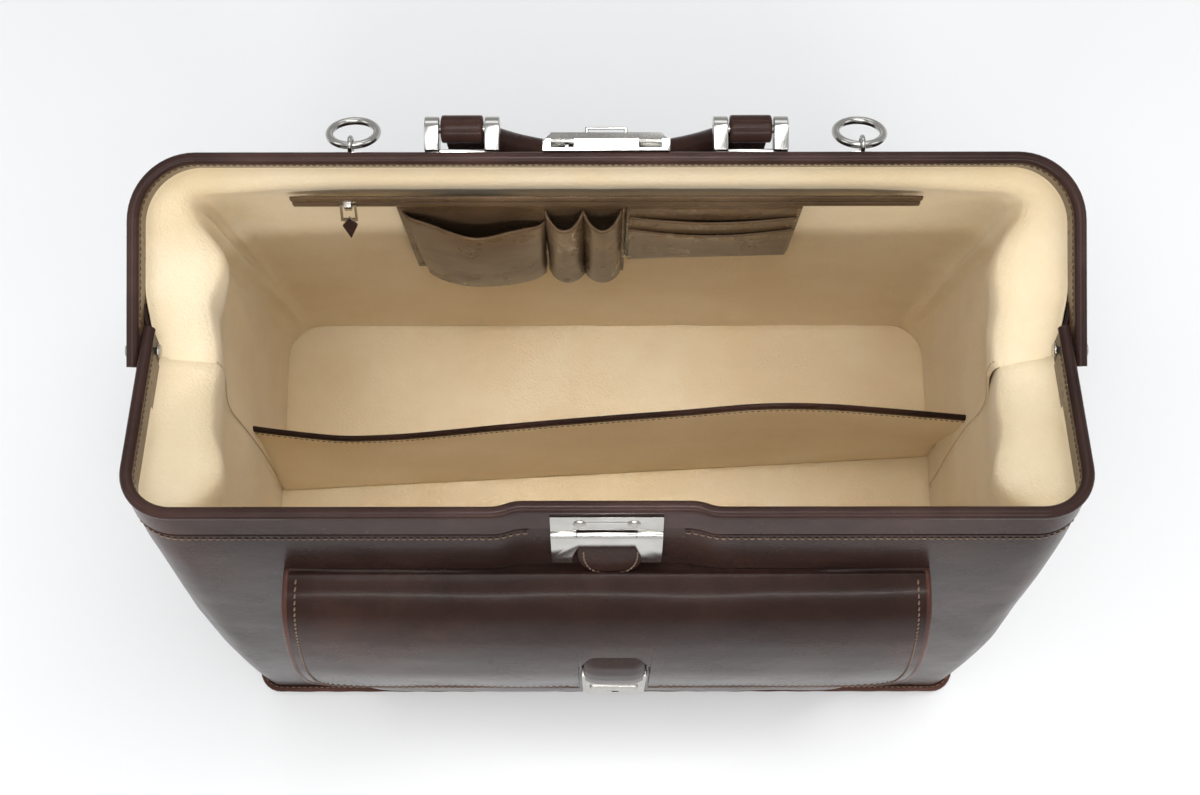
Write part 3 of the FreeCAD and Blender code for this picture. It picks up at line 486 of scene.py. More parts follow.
softbox("softbox_top", (0.05, -0.05, 1.9), (0, 0.02, 0.2), (1.5, 0.55), 11.5)
softbox("softbox_front", (0.1, -1.2, 1.15), (0, -0.13, 0.25), (1.3, 0.10), 10)
softbox("softbox_fill", (0.0, -0.75, 1.7), (0, 0.1, 0.1), (1.0, 0.7), 2)
softbox("softbox_inside", (0.0, -0.02, 0.95), (0, 0.02, 0.02), (0.22, 0.06), 0.07, spread=24)
softbox("softbox_rear", (0.0, 1.3, 1.5), (0, 0, 0.2), (1.4, 0.7), 4, (0.97, 0.98, 1))
softbox("softbox_left", (-1.6, 0.0, 1.4), (0, 0, 0.2), (0.6, 1.0), 3, (0.93, 0.96, 1))
softbox("softbox_right", (1.6, 0.0, 1.4), (0, 0, 0.2), (0.6, 1.0), 2.6, (0.95, 0.97, 1))
world = bpy.data.worlds.new("studio")
world.use_nodes = True
world.node_tree.nodes["Background"].inputs["Color"].default_value = (1, 1, 1, 1)
world.node_tree.nodes["Background"].inputs["Strength"].default_value = 0.5
bpy.context.scene.world = world
bpy.context.scene.view_settings.view_transform = "Standard"

FLOOR_HALF = 30000
FLOOR_TONES = ((0.3, (0.90, 0.905, 0.91, 1)), (0.7, (0.92, 0.925, 0.93, 1)))
floor_mat, floor_tree, floor_shader = new_material("floor_white")
floor_tone = noise_of(floor_tree, 3, 2)
floor_colour = ramp(floor_tree, floor_tone.outputs["Fac"], FLOOR_TONES)
floor_tree.links.new(floor_colour.outputs["Color"], floor_shader.inputs["Base Color"])
floor_shader.inputs["Roughness"].default_value = 0.22
floor_corners = [(x * FLOOR_HALF, y * FLOOR_HALF, 0) for x, y in ((-1, -1), (1, -1), (1, 1), (-1, 1))]
floor = obj_from("floor", floor_corners, [(0, 1, 2, 3)], floor_mat)
floor.location.z = -0.3 * MM


# ---------------------------------------------------------------- leather shell
def stations():
    """Where the shell's columns stand along the U."""
    out = [k / 14 for k in range(14)]
    out += [1 + k / 16 for k in range(16)]
    out += [2 + k / 36 for k in range(73)]
    out += [4 + k / 16 for k in range(1, 17)]
    out += [5 + k / 14 for k in range(1, 15)]
    return out


def soft_noise(a, b, seed):
    """Smooth noise from about -1 to 1 over a and b. Each seed gives another pattern."""
    return noise.noise(Vector((a, b, seed)))


def to_seam(raw, side, s, v):
    """Draws the edges of the two halves together on one line under the hinge pin."""
    p = raw(side, s, v)
    near = min(s, 6 - s)
    if near < 1:
        gap = raw(side, 0, v).y - (HINGE.y - side * 0.9)
        p.y -= gap * (1 - near) ** 2
    return p


def shell_point(side, s, v):
    """A point on the outer leather: v is 0 at the frame and 1 at the welt."""
    return to_seam(raw_shell, side, s, v)


def lining_point(side, s, v):
    """A point on the lining: v is 0 at the frame and 1 at the floor."""
    return to_seam(raw_lining, side, s, v)


def gusset_fold(side, s, t):
    """How far the gusset folds into the bag, just below the frame's arms."""
    near = min(s, 6 - s)
    reach_in = 25.0 * (1 - smooth((near - 0.5) / 0.9))
    reach_in += 13.0 * smooth((near - 0.4) / 0.5) * (1 - smooth((near - 1.5) / 0.9))
    depth = smooth(t / 0.085) * (1 - smooth((t - 0.45) / 0.55))
    depth *= 0.34 + 0.66 * (1 - smooth((t - 0.10) / 0.34))
    hand = 1 if s > 3 else -1
    return reach_in * depth * (1 + 0.16 * soft_noise(near * 2.2, t * 3 + hand, 21.0 + side))


def cubic(a, b, c, d, t):
    """A point on the Bezier curve from a to d."""
    return a * (1 - t) ** 3 + b * 3 * t * (1 - t) ** 2 + c * 3 * t * t * (1 - t) + d * t ** 3


# Outlines at the foot: half width, half depth, corner radius and height.
SHELL_FOOT = (216.2, 122.2, 13, 8.0)
LINING_FOOT = (210.5, 116.5, 22, 12.0)
# The share of each sheet that lies flat on its frame.
SHELL_BAND, LINING_BAND = 0.06, 0.04


def raw_shell(side, s, v):
    """The outer leather, before its halves are drawn together, from the frame down to the welt."""
    hinge_pull = (1 - smooth(min(s, 6 - s) / 0.6)) * (5.6 if side > 0 else 0.0)
    x, r = bow(side, s, 1.1 - hinge_pull)
    if v <= SHELL_BAND:
        return seat(side, x, r, -15 - 6 * v / SHELL_BAND)
    top = seat(side, x, r, -21)
    low = foot_path(side, s, *SHELL_FOOT)
    t = (v - SHELL_BAND) / (1 - SHELL_BAND)
    fall = top.z - low.z
    lead = (seat(side, x, r, -22) - top) * 70
    tail = Vector((0, 0, fall * 0.25))
    p = cubic(top, top + lead, low + tail, low, t)
    gusset = 1 - smooth((min(s, 6 - s) - 1.1) / 1.0)
    envelope = math.sin(math.pi * min(t * 1.02, 1)) ** 0.8
    near_seam = smooth(min(s, 6 - s) / 0.35)
    out = Vector((math.copysign(1, s - 3), 0, 0)) * gusset + Vector((0, side, 0)) * (1 - gusset)
    seam_dent = -0.62 * gusset_fold(side, s, t) * (1 - smooth((min(s, 6 - s) - 0.35) / 0.65))
    hand = 1 if s > 3 else -1
    wave = 2.6 * soft_noise(s * 1.7, t * 2.6 + s, 3.1 * side + hand)
    wave += 1.6 * soft_noise(s * 3.6 - t * 2, t * 5.0, 7.7 * side)
    wave *= (0.25 + 0.75 * gusset) * near_seam
    wave += 0.5 * soft_noise(s * 9, t * 12, 1.5)
    sag = 2.2 * math.sin(math.pi * t) ** 2 * math.exp(-((t - 0.72) / 0.25) ** 2)
    return p + out * (wave * envelope + seam_dent + sag)


# Long folds of the lining: where on the U each starts, how it slants, its width and its depth in mm.
LINING_FOLDS = ((1.35, 0.55, 0.13, 5.5), (4.6, -0.45, 0.12, 4.5), (1.75, -0.3, 0.10, 3.0))


def raw_lining(side, s, v):
    """The lining, before its halves are drawn together, from the frame down to the floor."""
    hinge_pull = (1 - smooth(min(s, 6 - s) / 0.6)) * (5.4 if side > 0 else -0.8)
    x, r = bow(side, s, -2.6 - hinge_pull)
    if v <= LINING_BAND:
        return seat(side, x, r, -17.5 - 4 * v / LINING_BAND)
    top = seat(side, x, r, -21.5)
    low = foot_path(side, s, *LINING_FOOT)
    t = (v - LINING_BAND) / (1 - LINING_BAND)
    lead = (seat(side, x, r, -22.5) - top) * 50
    tail = Vector((0, 0, 60))
    p = cubic(top, top + lead, low + tail, low, t)
    near = min(s, 6 - s)
    gusset = 1 - smooth((near - 1.2) / 0.9)
    envelope = math.sin(math.pi * min(t * 1.01, 1)) ** 0.7
    hand = 1 if s > 3 else -1
    inward = Vector((-math.copysign(1, s - 3), 0, 0)) * gusset + Vector((0, -side, 0)) * (1 - gusset)
    near_seam = smooth(near / 0.3)
    wave = 3.4 * soft_noise(s * 1.9 + hand, t * 2.2, 11.3 * side)
    wave += 2.0 * soft_noise(s * 4.1 + t * 2, t * 4.2, 5.9 * side + hand)
    wave *= (0.22 + 0.78 * gusset) * near_seam
    wave += 0.45 * soft_noise(s * 10, t * 14, 2.5 * side)
    padded_edge = 5.0 * smooth((near - 1.6) / 0.6) * smooth(t / 0.05) * math.exp(-((t - 0.08) / 0.06) ** 2)
    bulge = gusset_fold(side, s, t) + padded_edge
    fold = 0.0
    for at, tilt, wide, deep in LINING_FOLDS:
        fold += deep * math.exp(-((s - at - tilt * (t - 0.4)) / wide) ** 2)
    fold *= smooth(t / 0.3) * smooth((1 - t) / 0.3)
    return p + inward * ((wave + 1.0) * envelope * 0.9 + bulge + (fold if side > 0 else fold * 0.6))


def lattice(point, side, rows):
    return [[point(side, s, v) for s in stations()] for v in rows]


ROWS = [0, 0.03, 0.06, 0.075] + [0.09 + 0.91 * (k / 44) for k in range(45)]
FRAMES = {-1: "front_frame", 1: "rear_frame"}


def follow(obj):
    """Bakes a piece's placement into its mesh."""
    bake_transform(obj)
    return obj


for side, word in ((-1, "front"), (1, "rear")):
    shell = skin(word + "_shell", lattice(shell_point, side, ROWS), 1.9, BROWN, flip=side < 0)
    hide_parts(word + "_panel", "left_gusset_" + word, "right_gusset_" + word)
    follow(shell)
    inner = skin(word + "_lining_shell", lattice(lining_point, side, ROWS), 1.0, LINING, flip=side > 0)
    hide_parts(word + "_lining")
    follow(inner)

    # the piped seam under the frame's band, and its stitches
    columns = [k / 60 for k in range(12, 349)]

    def beside(s, v, lift):
        """A point lift mm off the outer leather."""
        a = shell_point(side, s, v)
        n = (shell_point(side, min(s + 0.02, 6), v) - a).cross(shell_point(side, s, v + 0.004) - a)
        n = n.normalized()
        if n.dot(a - Vector((0, HINGE.y, a.z))) < 0:
            n = -n
        return a + n * lift

    # the front seam stops on both sides of the lock
    runs = [columns] if side > 0 else [[s for s in columns if s < 2.83], [s for s in columns if s > 3.17]]
    lines = [[beside(s, 0.082, 0.15) for s in run] for run in runs]
    sewing = stitches(word + "_band_stitches", lines, THREAD,
                      lambda p: Vector((p.x * 0.3, p.y, 0)), 3.3, 2.5, 0.5)
    follow(sewing)
    for number, run in enumerate(runs):
        cord = [beside(s, 0.066, 0.1) for s in run]
        piping = tube("%s_piping_%d" % (word, number), cord, 0.6, BROWN, sides=8)
        follow(piping)

    # the polished brown leather inside the frame, between the bead and the lining, with the beige lining's
    # reflection painted into its colour as khaki
    whole_way = [k / 60 for k in range(361)]
    band = [[seat(side, *bow(side, s, -2.05, 2), n) for s in whole_way] for n in (-4.8, -8, -12, -16, -20.3)]
    facing = skin(word + "_inner_band", band, 0.35, BAND_PAINTED_REFLECTION, flip=side < 0)
    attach(facing, FRAMES[side])
    rim = [seat(side, *bow(side, s, -2.75, 6), -6.2) for s in whole_way]
    sewn = stitches(word + "_inner_stitches", [rim], THREAD_DARK,
                    lambda p: Vector((-p.x * 0.4, -p.y, 20)), 3.2, 2.2, 0.3)
    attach(sewn, FRAMES[side])

# gusset seams, inside and out
for hand, s_end in (("left", 0.0), ("right", 6.0)):
    side_x = -1 if hand == "left" else 1
    run = [lining_point(1, s_end, v) + Vector((-side_x * 0.3, 0, 0)) for v in ROWS[3:-1]]
    lining_sewing = stitches(hand + "_lining_seam", [[p + Vector((0, 3.2, 0)) for p in run]], THREAD_PALE,
                             lambda p: Vector((-p.x, 0, 0)), 4.2, 2.8, 0.35)
    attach(lining_sewing, "bag")
    run = [shell_point(1, s_end, v) + Vector((side_x * 0.4, 0, 0)) for v in ROWS[5:-1]]
    welt = tube(hand + "_gusset_seam", run, 1.1, EDGE, sides=8)
    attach(welt, "bag")
    outer_sewing = stitches(hand + "_gusset_stitches",
                            [[p + Vector((0, d, 0)) for p in run] for d in (-3.4, 3.4)], THREAD,
                            lambda p: Vector((p.x, 0, 0)), 3.6, 2.5)
    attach(outer_sewing, "bag")

# ---------------------------------------------------------------- base
CLOTH_X, CLOTH_Y = 211.2, 117.3
columns = [-CLOTH_X + 2 * CLOTH_X * k / 64 for k in range(65)]
depths = [-CLOTH_Y + 2 * CLOTH_Y * k / 44 for k in range(45)]


def floor_height(x, y):
    """The lining on the floor: nearly level, turned up at its edges."""
    edge = min(CLOTH_X - abs(x), CLOTH_Y - abs(y))
    turned_up = 2.2 * math.exp(-edge / 6)
    puckers = 0.8 * soft_noise(x / 18, y / 18, 9.4) * math.exp(-edge / 25)
    return 11.2 + soft_noise(x / 55, y / 45, 4.4) + turned_up + puckers


rows = [[Vector((x, y, floor_height(x, y))) for x in columns] for y in depths]
floor_cloth = skin("base_cloth", rows, 1.0, LINING)
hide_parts("base_lining")
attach(floor_cloth, "bag")
fine("base_leather", 0.9, BROWN)
fine("base_board", 0.4, BOARD)
fine("base_studs", 0.8, NICKEL)


def ring_outline(half_x, half_y, corner, z, steps):
    """A closed rounded rectangle round the base."""
    out = []
    for k, (sx, sy) in enumerate(((1, -1), (1, 1), (-1, 1), (-1, -1))):
        for step in range(steps + 1):
            angle = math.radians(-90 + 90 * k + 90 * step / steps)
            out.append(Vector((sx * (half_x - corner) + corner * math.cos(angle),
                               sy * (half_y - corner) + corner * math.sin(angle), z)))
    out.append(out[0].copy())
    return out


even = resample(ring_outline(217.4, 123.4, 12, 6.4, 19), 3.0)[:-1]
thickness = [2.1 + 0.12 * math.sin(k * 0.9) for k in range(len(even))]
welt = tube("base_piping", even, thickness, EDGE, closed=True, sides=12)
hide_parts("base_welt")
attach(welt, "bag")


def base_out(p):
    return Vector((p.x if abs(p.x) > 200 else 0, p.y if abs(p.y) > 110 else 0, 0))


edge_sewing = stitches("base_edge_stitches", [ring_outline(217.0, 123.2, 13, 12.5, 11)], THREAD,
                       base_out, 3.6, 2.5)
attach(edge_sewing, "bag")

# ---------------------------------------------------------------- partition
# The bound edge's height at points across the bag: it sags to the left.
TOP_LINE = ((-213, 137), (-190, 124), (-159, 111), (-135, 112), (-110, 118), (-60, 136),
            (-3.5, 154), (40, 166), (86, 180), (120, 180), (160, 170), (212, 154))


def curve_at(pairs, x):
    """A smooth line through pairs of x and height."""
    for k in range(len(pairs) - 1):
        (x0, y0), (x1, y1) = pairs[k], pairs[k + 1]
        if x <= x1 or k == len(pairs) - 2:
            before = pairs[max(k - 1, 0)]
            after = pairs[min(k + 2, len(pairs) - 1)]
            m0 = (y1 - before[1]) / (x1 - before[0])
            m1 = (after[1] - y0) / (after[0] - x0)
            t, h = (x - x0) / (x1 - x0), x1 - x0
            return ((2 * t ** 3 - 3 * t * t + 1) * y0 + (t ** 3 - 2 * t * t + t) * h * m0
                    + (-2 * t ** 3 + 3 * t * t) * y1 + (t ** 3 - t * t) * h * m1)
    return pairs[-1][1]


def partition_point(x, v):
    """v is 0 at the floor and 1 at the bound edge."""
    top = curve_at(TOP_LINE, x)
    foot_y = 4 + 22 * (x + 204) / 418
    y = foot_y + (12 - foot_y) * smooth(v) + 3.2 * soft_noise(x / 95, v * 1.6, 6.6) * math.sin(math.pi * v)
    return Vector((x, y, 13 + (top - 13) * v))


columns = [-209 + 418 * k / 110 for k in range(111)]
rows = [[partition_point(x, v) for x in columns] for v in [k / 24 for k in range(25)]]
partition = skin("partition_cloth", rows, 1.9, LINING)
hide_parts("divider")
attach(partition, "bag")
edge_rows = []
for angle in [math.radians(a) for a in range(-90, 271, 30)]:
    round_edge = Vector((0, 0.95 + 1.75 * math.sin(angle), 0.6 + 2.9 * math.cos(angle)))
    edge_rows.append([partition_point(x, 1) + round_edge for x in columns])
binding = skin("partition_binding", edge_rows, 0.6, BROWN, roll=False)
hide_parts("divider_binding")
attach(binding, "bag")
lines = [[partition_point(x, 1) + Vector((0, dy, -1.4)) for x in columns] for dy in (-1.0, 2.9)]
sewing = stitches("partition_stitches", lines, THREAD,
                  lambda p: Vector((0, -1 if p.y < 13 else 1, 0.2)), 3.4, 2.3, 0.3)
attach(sewing, "bag")

# ---------------------------------------------------------------- organiser
LEAN = math.atan2(FOOT - LIP[1], LIP_HEIGHT - FLOOR)


def on_rear(x, z, lift):
    """A point at a height z on the rear lining, lift mm off it into the bag."""
    return Vector((x, REAR_LINING + math.tan(LEAN) * (LIP_HEIGHT - z) - lift, z))


def off_rear(p):
    return Vector((0, -1, -0.08))


def patch(name, x_low, x_high, z_low, z_high, lift, material, thick=1.3, columns=40, rows=30):
    """A pad of leather on the rear lining. lift(u, v) is how far it stands off."""
    grid = []
    for i in range(rows + 1):
        v = i / rows
        line = []
        for j in range(columns + 1):
            u = j / columns
            line.append(on_rear(x_low(v) + (x_high(v) - x_low(v)) * u, z_high(u) + (z_low(u) - z_high(u)) * v,
                                lift(u, v)))
        grid.append(line)
    return skin(name, grid, thick, material)


def finish(obj, slot, body, *nodes):
    """Gives a piece its body and hides the CAD nodes it stands for. slot is not used."""
    if nodes:
        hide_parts(*nodes)
    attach(obj, body)
    return obj


# zip strip with its slot, and the teeth
ZIP_LEVEL = 285
strip_lines = []
for part, sign, low, high in (("low", -1, 279.0, 282.8), ("high", 1, 287.2, 291.0)):
    piece = patch("zip_strip_" + part, lambda v: -161, lambda v: 161,
                  lambda u, low=low: low, lambda u, high=high: high,
                  lambda u, v: 2.4 + 0.7 * math.sin(math.pi * v), DARK, 1.4, 60, 6)
    finish(piece, "leather_dark", "bag", "zip_strip")
    strip_lines.append([on_rear(-159 + 318 * k / 40, ZIP_LEVEL + sign * 4.4, 3.1) for k in range(41)])
finish(stitches("zip_stitches", strip_lines, THREAD_DARK, off_rear, 3.2, 2.2, 0.3), "leather_dark", "bag")
TOOTH_FACES = ((0, 1, 3, 2), (4, 6, 7, 5), (0, 4, 5, 1), (2, 3, 7, 6), (0, 2, 6, 4), (1, 5, 7, 3))
teeth_v, teeth_f = [], []
for k in range(151):
    for sign in (-1, 1):
        x = -150 + 2 * k + (1 if sign > 0 else 0)
        centre = on_rear(x, ZIP_LEVEL + sign * 0.75, 1.6)
        base = len(teeth_v)
        for dx in (-0.62, 0.62):
            for dy in (-0.8, 0.8):
                for dz in (-1.0, 1.0):
                    teeth_v.append(centre + Vector((dx * (1 if dz * sign > 0 else 0.8), dy, dz)))
        teeth_f += [tuple(base + q for q in f) for f in TOOTH_FACES]
finish(obj_from("zip_teeth", teeth_v, teeth_f, BRASS, soft=False), "zip_brass", "bag", "zip_chain")
fine("zip_slider", 0.5, NICKEL)

# the pull: a wire eye, and a leather diamond up to 10.4 mm from its tip
pull = fine("zip_pull", 0.3, NICKEL)
pull.data.materials.append(BROWN)
tip = min((v.co for v in pull.data.vertices), key=lambda p: p.z).copy()
for face in pull.data.polygons:
    if (face.center - tip).length < 10.4 * MM:
        face.material_index = 1


# phone pocket: a bulging pouch with a wavy mouth
def pouch_lift(u, v):
    bulge = 11.5 * (math.sin(math.pi * u) ** 0.45) * (0.72 + 0.28 * math.sin(math.pi * (0.15 + 0.75 * v)))
    return 1.6 + (bulge + 1.2 * soft_noise(u * 3, v * 3, 8.8)) * smooth((1 - v) / 0.12 + 0.08)


def pouch_mouth(u):
    return 262 - 14 * u + 3.0 * math.cos(2 * math.pi * u) + 2.2 * math.sin(3.2 * math.pi * u)


pouch = patch("phone_pouch", lambda v: -106 + 3 * v, lambda v: -33 - 3 * v,
              lambda u: 146 - 6 * math.sin(math.pi * u), pouch_mouth, pouch_lift, DARK, 1.5, 48, 44)
finish(pouch, "leather_dark", "bag", "phone_pocket")
back = patch("phone_back", lambda v: -109, lambda v: -31,
             lambda u: 160, lambda u: 276 - 2.5 * math.cos(2 * math.pi * u),
             lambda u, v: 1.2, DARK, 0.9, 30, 24)
finish(back, "leather_dark", "bag")
phone_lines = [[on_rear(-104.5 + 70 * u, pouch_mouth(u) - 3, pouch_lift(u, 0) + 0.3)
                for u in [k / 40 for k in range(1, 40)]]]
for x in (-106.5, -33):
    phone_lines.append([on_rear(x, z, 1.5) for z in range(165, 272, 5)])
finish(stitches("phone_stitches", phone_lines, THREAD_DARK, off_rear, 3.2, 2.1, 0.3), "leather_dark", "bag")


# pen loops: two tubes side by side
def loop_lift(u, v):
    return 1.4 + 11.0 * math.sin(math.pi * u) ** 0.6 * (1 - 0.12 * v)


loop_lines = []
for number, x in enumerate((-31, -11)):
    loop = patch("pen_loop_%d" % number, lambda v, x=x: x - 0.5, lambda v, x=x: x + 18.5,
                 lambda u: 154 + 6 * math.sin(math.pi * u), lambda u: 268 - 4.5 * math.sin(math.pi * u),
                 loop_lift, DARK, 1.4, 24, 36)
    finish(loop, "leather_dark", "bag", "pen_loops")
    for dx in (0.8, 17.2):
        loop_lines.append([on_rear(x + dx, z, 3.2) for z in range(158, 268, 5)])
backing = patch("pen_back", lambda v: -33, lambda v: 10, lambda u: 150, lambda u: 273,
                lambda u, v: 1.1, DARK, 0.8, 20, 20)
finish(backing, "leather_dark", "bag")
finish(stitches("pen_stitches", loop_lines, THREAD_DARK, off_rear, 3.2, 2.1, 0.3), "leather_dark", "bag")

# card pocket: backing and two overlapping leaves with bowed mouths
card_back = patch("card_back", lambda v: 11, lambda v: 102, lambda u: 184 + 8 * u, lambda u: 273,
                  lambda u, v: 1.7, DARK, 1.2)
finish(card_back, "leather_dark", "bag", "card_pocket")
for number, (high, dip, lift) in enumerate(((258, 5, 3.0), (241, 7, 4.4))):
    leaf = patch("card_leaf_%d" % number, lambda v: 12.5, lambda v: 100.5, lambda u: 186 + 8 * u,
                 lambda u, high=high, dip=dip: high - dip * math.sin(math.pi * u),
                 lambda u, v, lift=lift: lift + 1.6 * math.sin(math.pi * u) * (1 - v), DARK, 1.0)
    finish(leaf, "leather_dark", "bag")
card_lines = [[on_rear(14.5, z, 4.9) for z in range(190, 240, 5)],
              [on_rear(98.5, z, 4.9) for z in range(197, 240, 5)],
              [on_rear(14.5, z, 2.2) for z in range(242, 270, 5)],
              [on_rear(98.5, z, 2.2) for z in range(242, 270, 5)],
              [on_rear(15 + 83 * k / 10, 188.5 + 8 * k / 10, 4.9) for k in range(11)],
              [on_rear(15 + 83 * k / 10, 270.5, 2.0) for k in range(11)]]
finish(stitches("card_stitches", card_lines, THREAD_DARK, off_rear, 3.2, 2.1, 0.3), "leather_dark", "bag")


# ---------------------------------------------------------------- front pocket and flap
def span_of(points, t):
    """The span that t (0 to 1) falls in, and how far along it is."""
    place = t * (len(points) - 1)
    k = min(int(place), len(points) - 2)
    return k, place - k


def spline_at(points, t):
    """y and z on a smooth curve through points."""
    k, f = span_of(points, t)
    p0, p1 = points[k], points[k + 1]
    before, after = points[max(k - 1, 0)], points[min(k + 2, len(points) - 1)]
    return [0.5 * (2 * b + (c - a) * f + (2 * a - 5 * b + 4 * c - d) * f * f
                   + (3 * b - a - 3 * c + d) * f ** 3)
            for a, b, c, d in zip(before, p0, p1, after)]


def wall_y(z):
    """How far forward the front wall stands at a height z."""
    return -(FOOT - (FOOT - LIP[-1]) * (z - FLOOR) / (LIP_HEIGHT - FLOOR))


# y and z down the pocket's front, from its rim to its back edge at the bottom
POCKET_LINE = ((-122.0, 225), (-127.3, 210), (-130.6, 190), (-131, 150), (-131, 100),
               (-130.6, 72), (-127, 55), (-119.5, 45.5))
POCKET_HALF = 152
rows = []
for i in range(41):
    y, z = spline_at(POCKET_LINE, i / 40)
    line = []
    for j in range(81):
        u = -1 + 2 * j / 80
        x = POCKET_HALF * math.copysign(1 - (1 - abs(u)) ** 1.35, u)
        edge = (1 - min(abs(x) / POCKET_HALF, 1) ** 14) ** 0.5
        base = wall_y(z) - 1.2
        depth = (y - base) * edge + 0.9 * soft_noise(x / 40, z / 30, 5.1) * edge
        line.append(Vector((x, base + depth, z)))
    rows.append(line)
finish(skin("pocket_pouch", rows, 1.7, BROWN), "leather_brown", "bag", "pocket_body")

CLASP_X = 4.0
NOTCH_HALF = 18.5
FLAP_HALF, FLAP_CORNER, FLAP_LENGTH, FLAP_THICK = 160.0, 24.0, 180.0, 2.6
# y and z along the flap, from its root over the fold and down to its free edge
FLAP_LINE = ((-94.6, 285.0), (-100.5, 286.2), (-109.5, 282.6), (-118.6, 273.5), (-125.6, 257),
             (-130.4, 238.5), (-133.4, 221), (-135.5, 205), (-136.4, 188), (-136.5, 169), (-136.3, 150))


def flap_end(x):
    """How far down the flap reaches at x, as a share of its profile."""
    over = abs(x) - (FLAP_HALF - FLAP_CORNER)
    drop = 0.0
    if over > 0:
        drop = FLAP_CORNER - math.sqrt(max(FLAP_CORNER ** 2 - min(over, FLAP_CORNER) ** 2, 0))
    notch = abs(x - CLASP_X)
    if notch < NOTCH_HALF:
        return 0.5 + 0.09 * smooth((notch - 9) / 9.5) ** 2
    return 1 - drop / FLAP_LENGTH


def flap_point(x, t, lift=0.0):
    """A point on the flap: t is 0 at its root and 1 at its free edge, lift is mm off its inner face."""
    y, z = spline_at(FLAP_LINE, t)
    width = 0.962 + 0.045 * smooth(t * 1.3)
    crown = 1.4 * math.sin(math.pi * min(t, 1)) * (1 - (x / FLAP_HALF) ** 2)
    edge = 1.2 * (abs(x) / FLAP_HALF) ** 6
    wave = 0.55 * soft_noise(x / 45, t * 4, 3.3)
    ahead = spline_at(FLAP_LINE, min(t + 0.01, 1))
    behind = spline_at(FLAP_LINE, max(t - 0.01, 0))
    along = Vector((0, ahead[0] - behind[0], ahead[1] - behind[1])).normalized()
    out = Vector((0, along.z, -along.y))
    if out.y > 0:
        out = -out
    return Vector((x * width, y, z)) + out * (crown - edge + wave + lift)


def flap_share(k, x):
    """Rows run level down to the notch, then fan out to the edge."""
    return 0.42 * k / 28 if k <= 28 else 0.42 + (flap_end(x) - 0.42) * (k - 28) / 28


# Columns across the flap stand closer together at the notch and at the rounded corners.
marks = [round(-FLAP_HALF + 2 * FLAP_HALF * k / 120, 3) for k in range(121)]
for sign in (-1, 1):
    marks += [CLASP_X + sign * d for d in (14, 16, 17.5, NOTCH_HALF - 0.1, NOTCH_HALF + 0.1)]
    marks += [sign * (FLAP_HALF - FLAP_CORNER + k * 2) for k in range(12)]
    marks += [sign * (FLAP_HALF - 1), sign * (FLAP_HALF - 0.3)]
marks = sorted(set(marks))
rows, outside = [[[flap_point(x, flap_share(k, x), lift) for x in marks] for k in range(57)]
                 for lift in (0, FLAP_THICK)]
flap = skin("flap_leather", rows, FLAP_THICK, BROWN, far=outside)
finish(flap, "leather_brown", "flap", "pocket_flap")


def flap_edge(inset, lift):
    """Two lines inset from the flap's free edge: down each side, then along the bottom to the notch."""
    half, corner = FLAP_HALF - inset, FLAP_CORNER - inset
    side = [(half, (k / 40) * (1 - FLAP_CORNER / FLAP_LENGTH)) for k in range(2, 40)]
    for k in range(13):
        angle = math.radians(90 * k / 12)
        x = half - corner + corner * math.cos(angle)
        side.append((x, 1 - (FLAP_CORNER - corner * math.sin(angle)) / FLAP_LENGTH))
    runs = []
    for sign in (-1, 1):
        out = [(sign * x, t) for x, t in side]
        out.append((CLASP_X + sign * (NOTCH_HALF + inset), 1 - inset / FLAP_LENGTH))
        runs.append([flap_point(x, t, lift) for x, t in out])
    return runs


def flap_out(p):
    return Vector((0, -1, 0.35 + max(p.z - 190, 0) / 100))


finish(stitches("flap_stitches", flap_edge(5.2, FLAP_THICK + 0.1), THREAD, flap_out, 3.6, 2.6, 0.45),
       "leather_brown", "flap")
for number, line in enumerate(flap_edge(0.2, 1.4)):
    finish(tube("flap_rim_%d" % number, resample(line, 3), 1.75, EDGE, sides=10), "leather_brown", "flap")

# clasp
fine("clasp_case", 1.4, SATIN)
fine("clasp_button", 0.9, SATIN)
fine("key_barrel", 0.3, NICKEL)
# y and z up the leather tongue, from under the clasp's case to the notch
TONGUE_LINE = ((-139.2, 184), (-139.6, 192), (-139.4, 202), (-138.2, 212),
               (-135.8, 222), (-132.0, 231), (-128.4, 237))


def tongue_at(v):
    k, f = span_of(TONGUE_LINE, v)
    (y0, z0), (y1, z1) = TONGUE_LINE[k], TONGUE_LINE[k + 1]
    return y0 + (y1 - y0) * f, z0 + (z1 - z0) * f


rows = []
for i in range(25):
    v = i / 24
    y, z = tongue_at(v)
    half = 14.6 * (1 - max(0, (v - 0.7) / 0.3) ** 3 * 0.22)
    rows.append([Vector((CLASP_X + half * u, y + 2.4 * abs(u) ** 5, z))
                 for u in [-1 + k / 12 for k in range(25)]])
finish(skin("tongue_leather", rows[::-1], 2.2, BROWN), "leather_brown", "flap", "clasp_tongue")
line = [rows[k][0] for k in range(0, 25, 2)] + rows[-1][2:-2:2] + [rows[k][-1] for k in range(24, -1, -2)]
rim = [p + Vector((0, -1.1, 0)) for p in resample(line, 2.0)]
finish(tube("tongue_rim", rim, 1.4, EDGE, sides=10), "leather_brown", "flap")

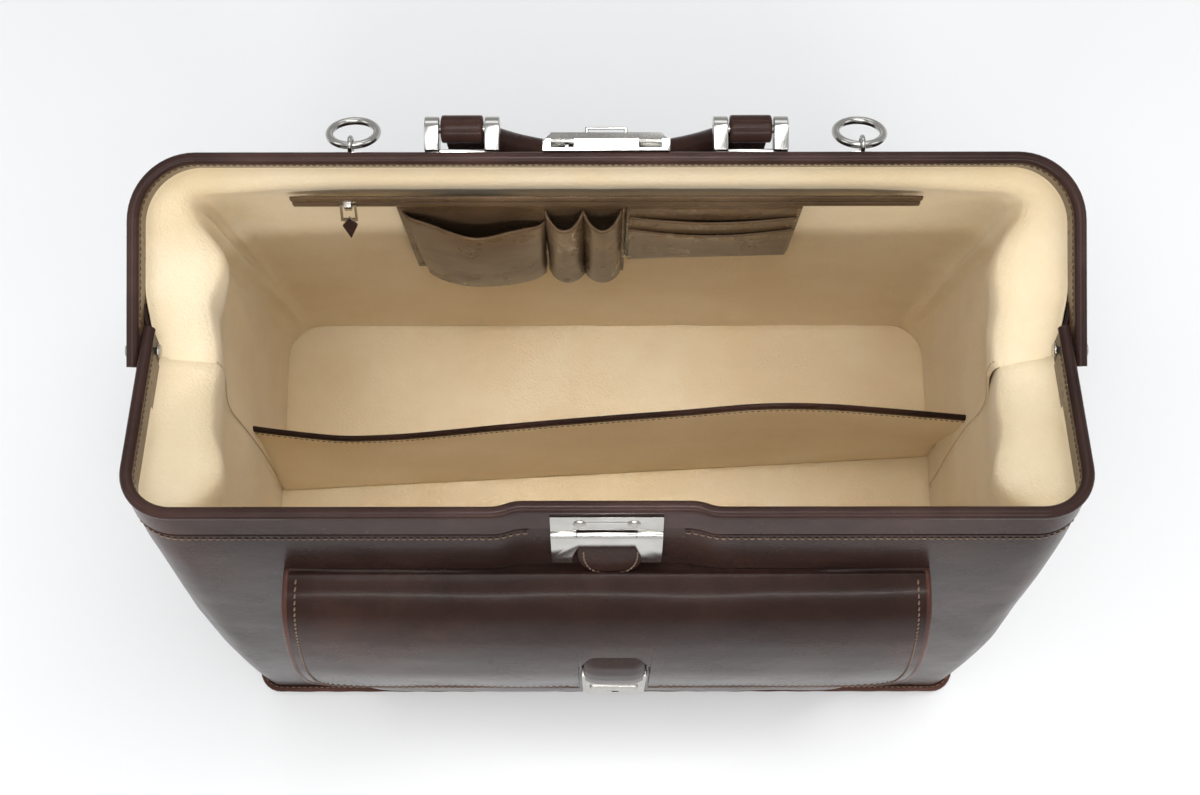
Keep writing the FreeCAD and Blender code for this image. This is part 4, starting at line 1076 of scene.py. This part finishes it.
# half-round tab behind the hasp
rows = []
for i in range(21):
    v = i / 20
    half = 15.6 * (1 if v < 0.45 else math.sqrt(max(1 - ((v - 0.45) / 0.55) ** 2, 0.0004)))
    z = 318 - 33.5 * v
    y = wall_y(z) - 0.7 - 5.4 * smooth(v) ** 1.3
    rows.append([Vector((1.8 + half * u, y - 0.5 * (1 - u * u), z))
                 for u in [-1 + k / 14 for k in range(29)]])
tab = skin("lock_tab_leather", rows, 1.3, BROWN)
finish(tab, "leather_brown", "bag", "lock_tab")
sewn = [row[2] + Vector((0.6, -1.45, 0)) for row in rows[7:18]]
sewn += [rows[18][k] + Vector((0, -1.45, 0)) for k in range(4, 25, 2)]
sewn += [row[-3] + Vector((-0.6, -1.45, 0)) for row in rows[17:6:-1]]
finish(stitches("tab_stitches", [sewn], THREAD, lambda p: Vector((0, -1, 0.1)), 3.0, 2.2, 0.4),
       "leather_brown", "bag")

# ---------------------------------------------------------------- frames, lock, handle, rings
def dress(node, material):
    """Puts a material on a CAD node that stays as it is."""
    mesh = frame["nodes"][node].data
    mesh.materials.clear()
    mesh.materials.append(material)
    return mesh


for word in ("front", "rear"):
    for face in dress(word + "_leather", BAND).polygons:
        face.use_smooth = True
    fine(word + "_strip", 0.2, STEEL, 1)

# each metal piece, how far its edges are eased in mm, and its finish
HARDWARE = (("lock_plate", 0.45, NICKEL), ("lock_hasp", 0.4, NICKEL), ("lock_case", 0.5, NICKEL),
            ("plate_rivets", 0.3, SATIN), ("hasp_pin", 0.2, SATIN), ("bolt_bar", 0.25, SATIN),
            ("lock_bail", 0.55, NICKEL), ("handle_bracket_left", 0.9, NICKEL),
            ("handle_bracket_right", 0.9, NICKEL), ("bracket_pins", 0.3, SATIN),
            ("hinge_rivet_left", 0.5, SATIN), ("hinge_rivet_right", 0.5, SATIN),
            ("ring_staple_left", 0.4, NICKEL), ("ring_staple_right", 0.4, NICKEL))
for name, width, mat in HARDWARE:
    fine(name, width, mat)
for name in ("ring_left", "ring_right"):
    dress(name, NICKEL)
dress("handle_core", ROPE)

# handle grip: the CAD shape with its edges worn round
source = frame["nodes"]["handle_leather"]
grip = bpy.data.objects.new("handle_grip", source.data.copy())
bpy.context.scene.collection.objects.link(grip)
grip.data.materials.clear()
grip.data.materials.append(BROWN)
remesh = grip.modifiers.new("remesh", "REMESH")
remesh.mode = "VOXEL"
remesh.voxel_size = 0.8 * MM
soften = grip.modifiers.new("soften", "SMOOTH")
soften.factor = 0.5
soften.iterations = 6
bake(grip)
for face in grip.data.polygons:
    face.use_smooth = True
finish(grip, "leather_brown", "handle", "handle_leather")
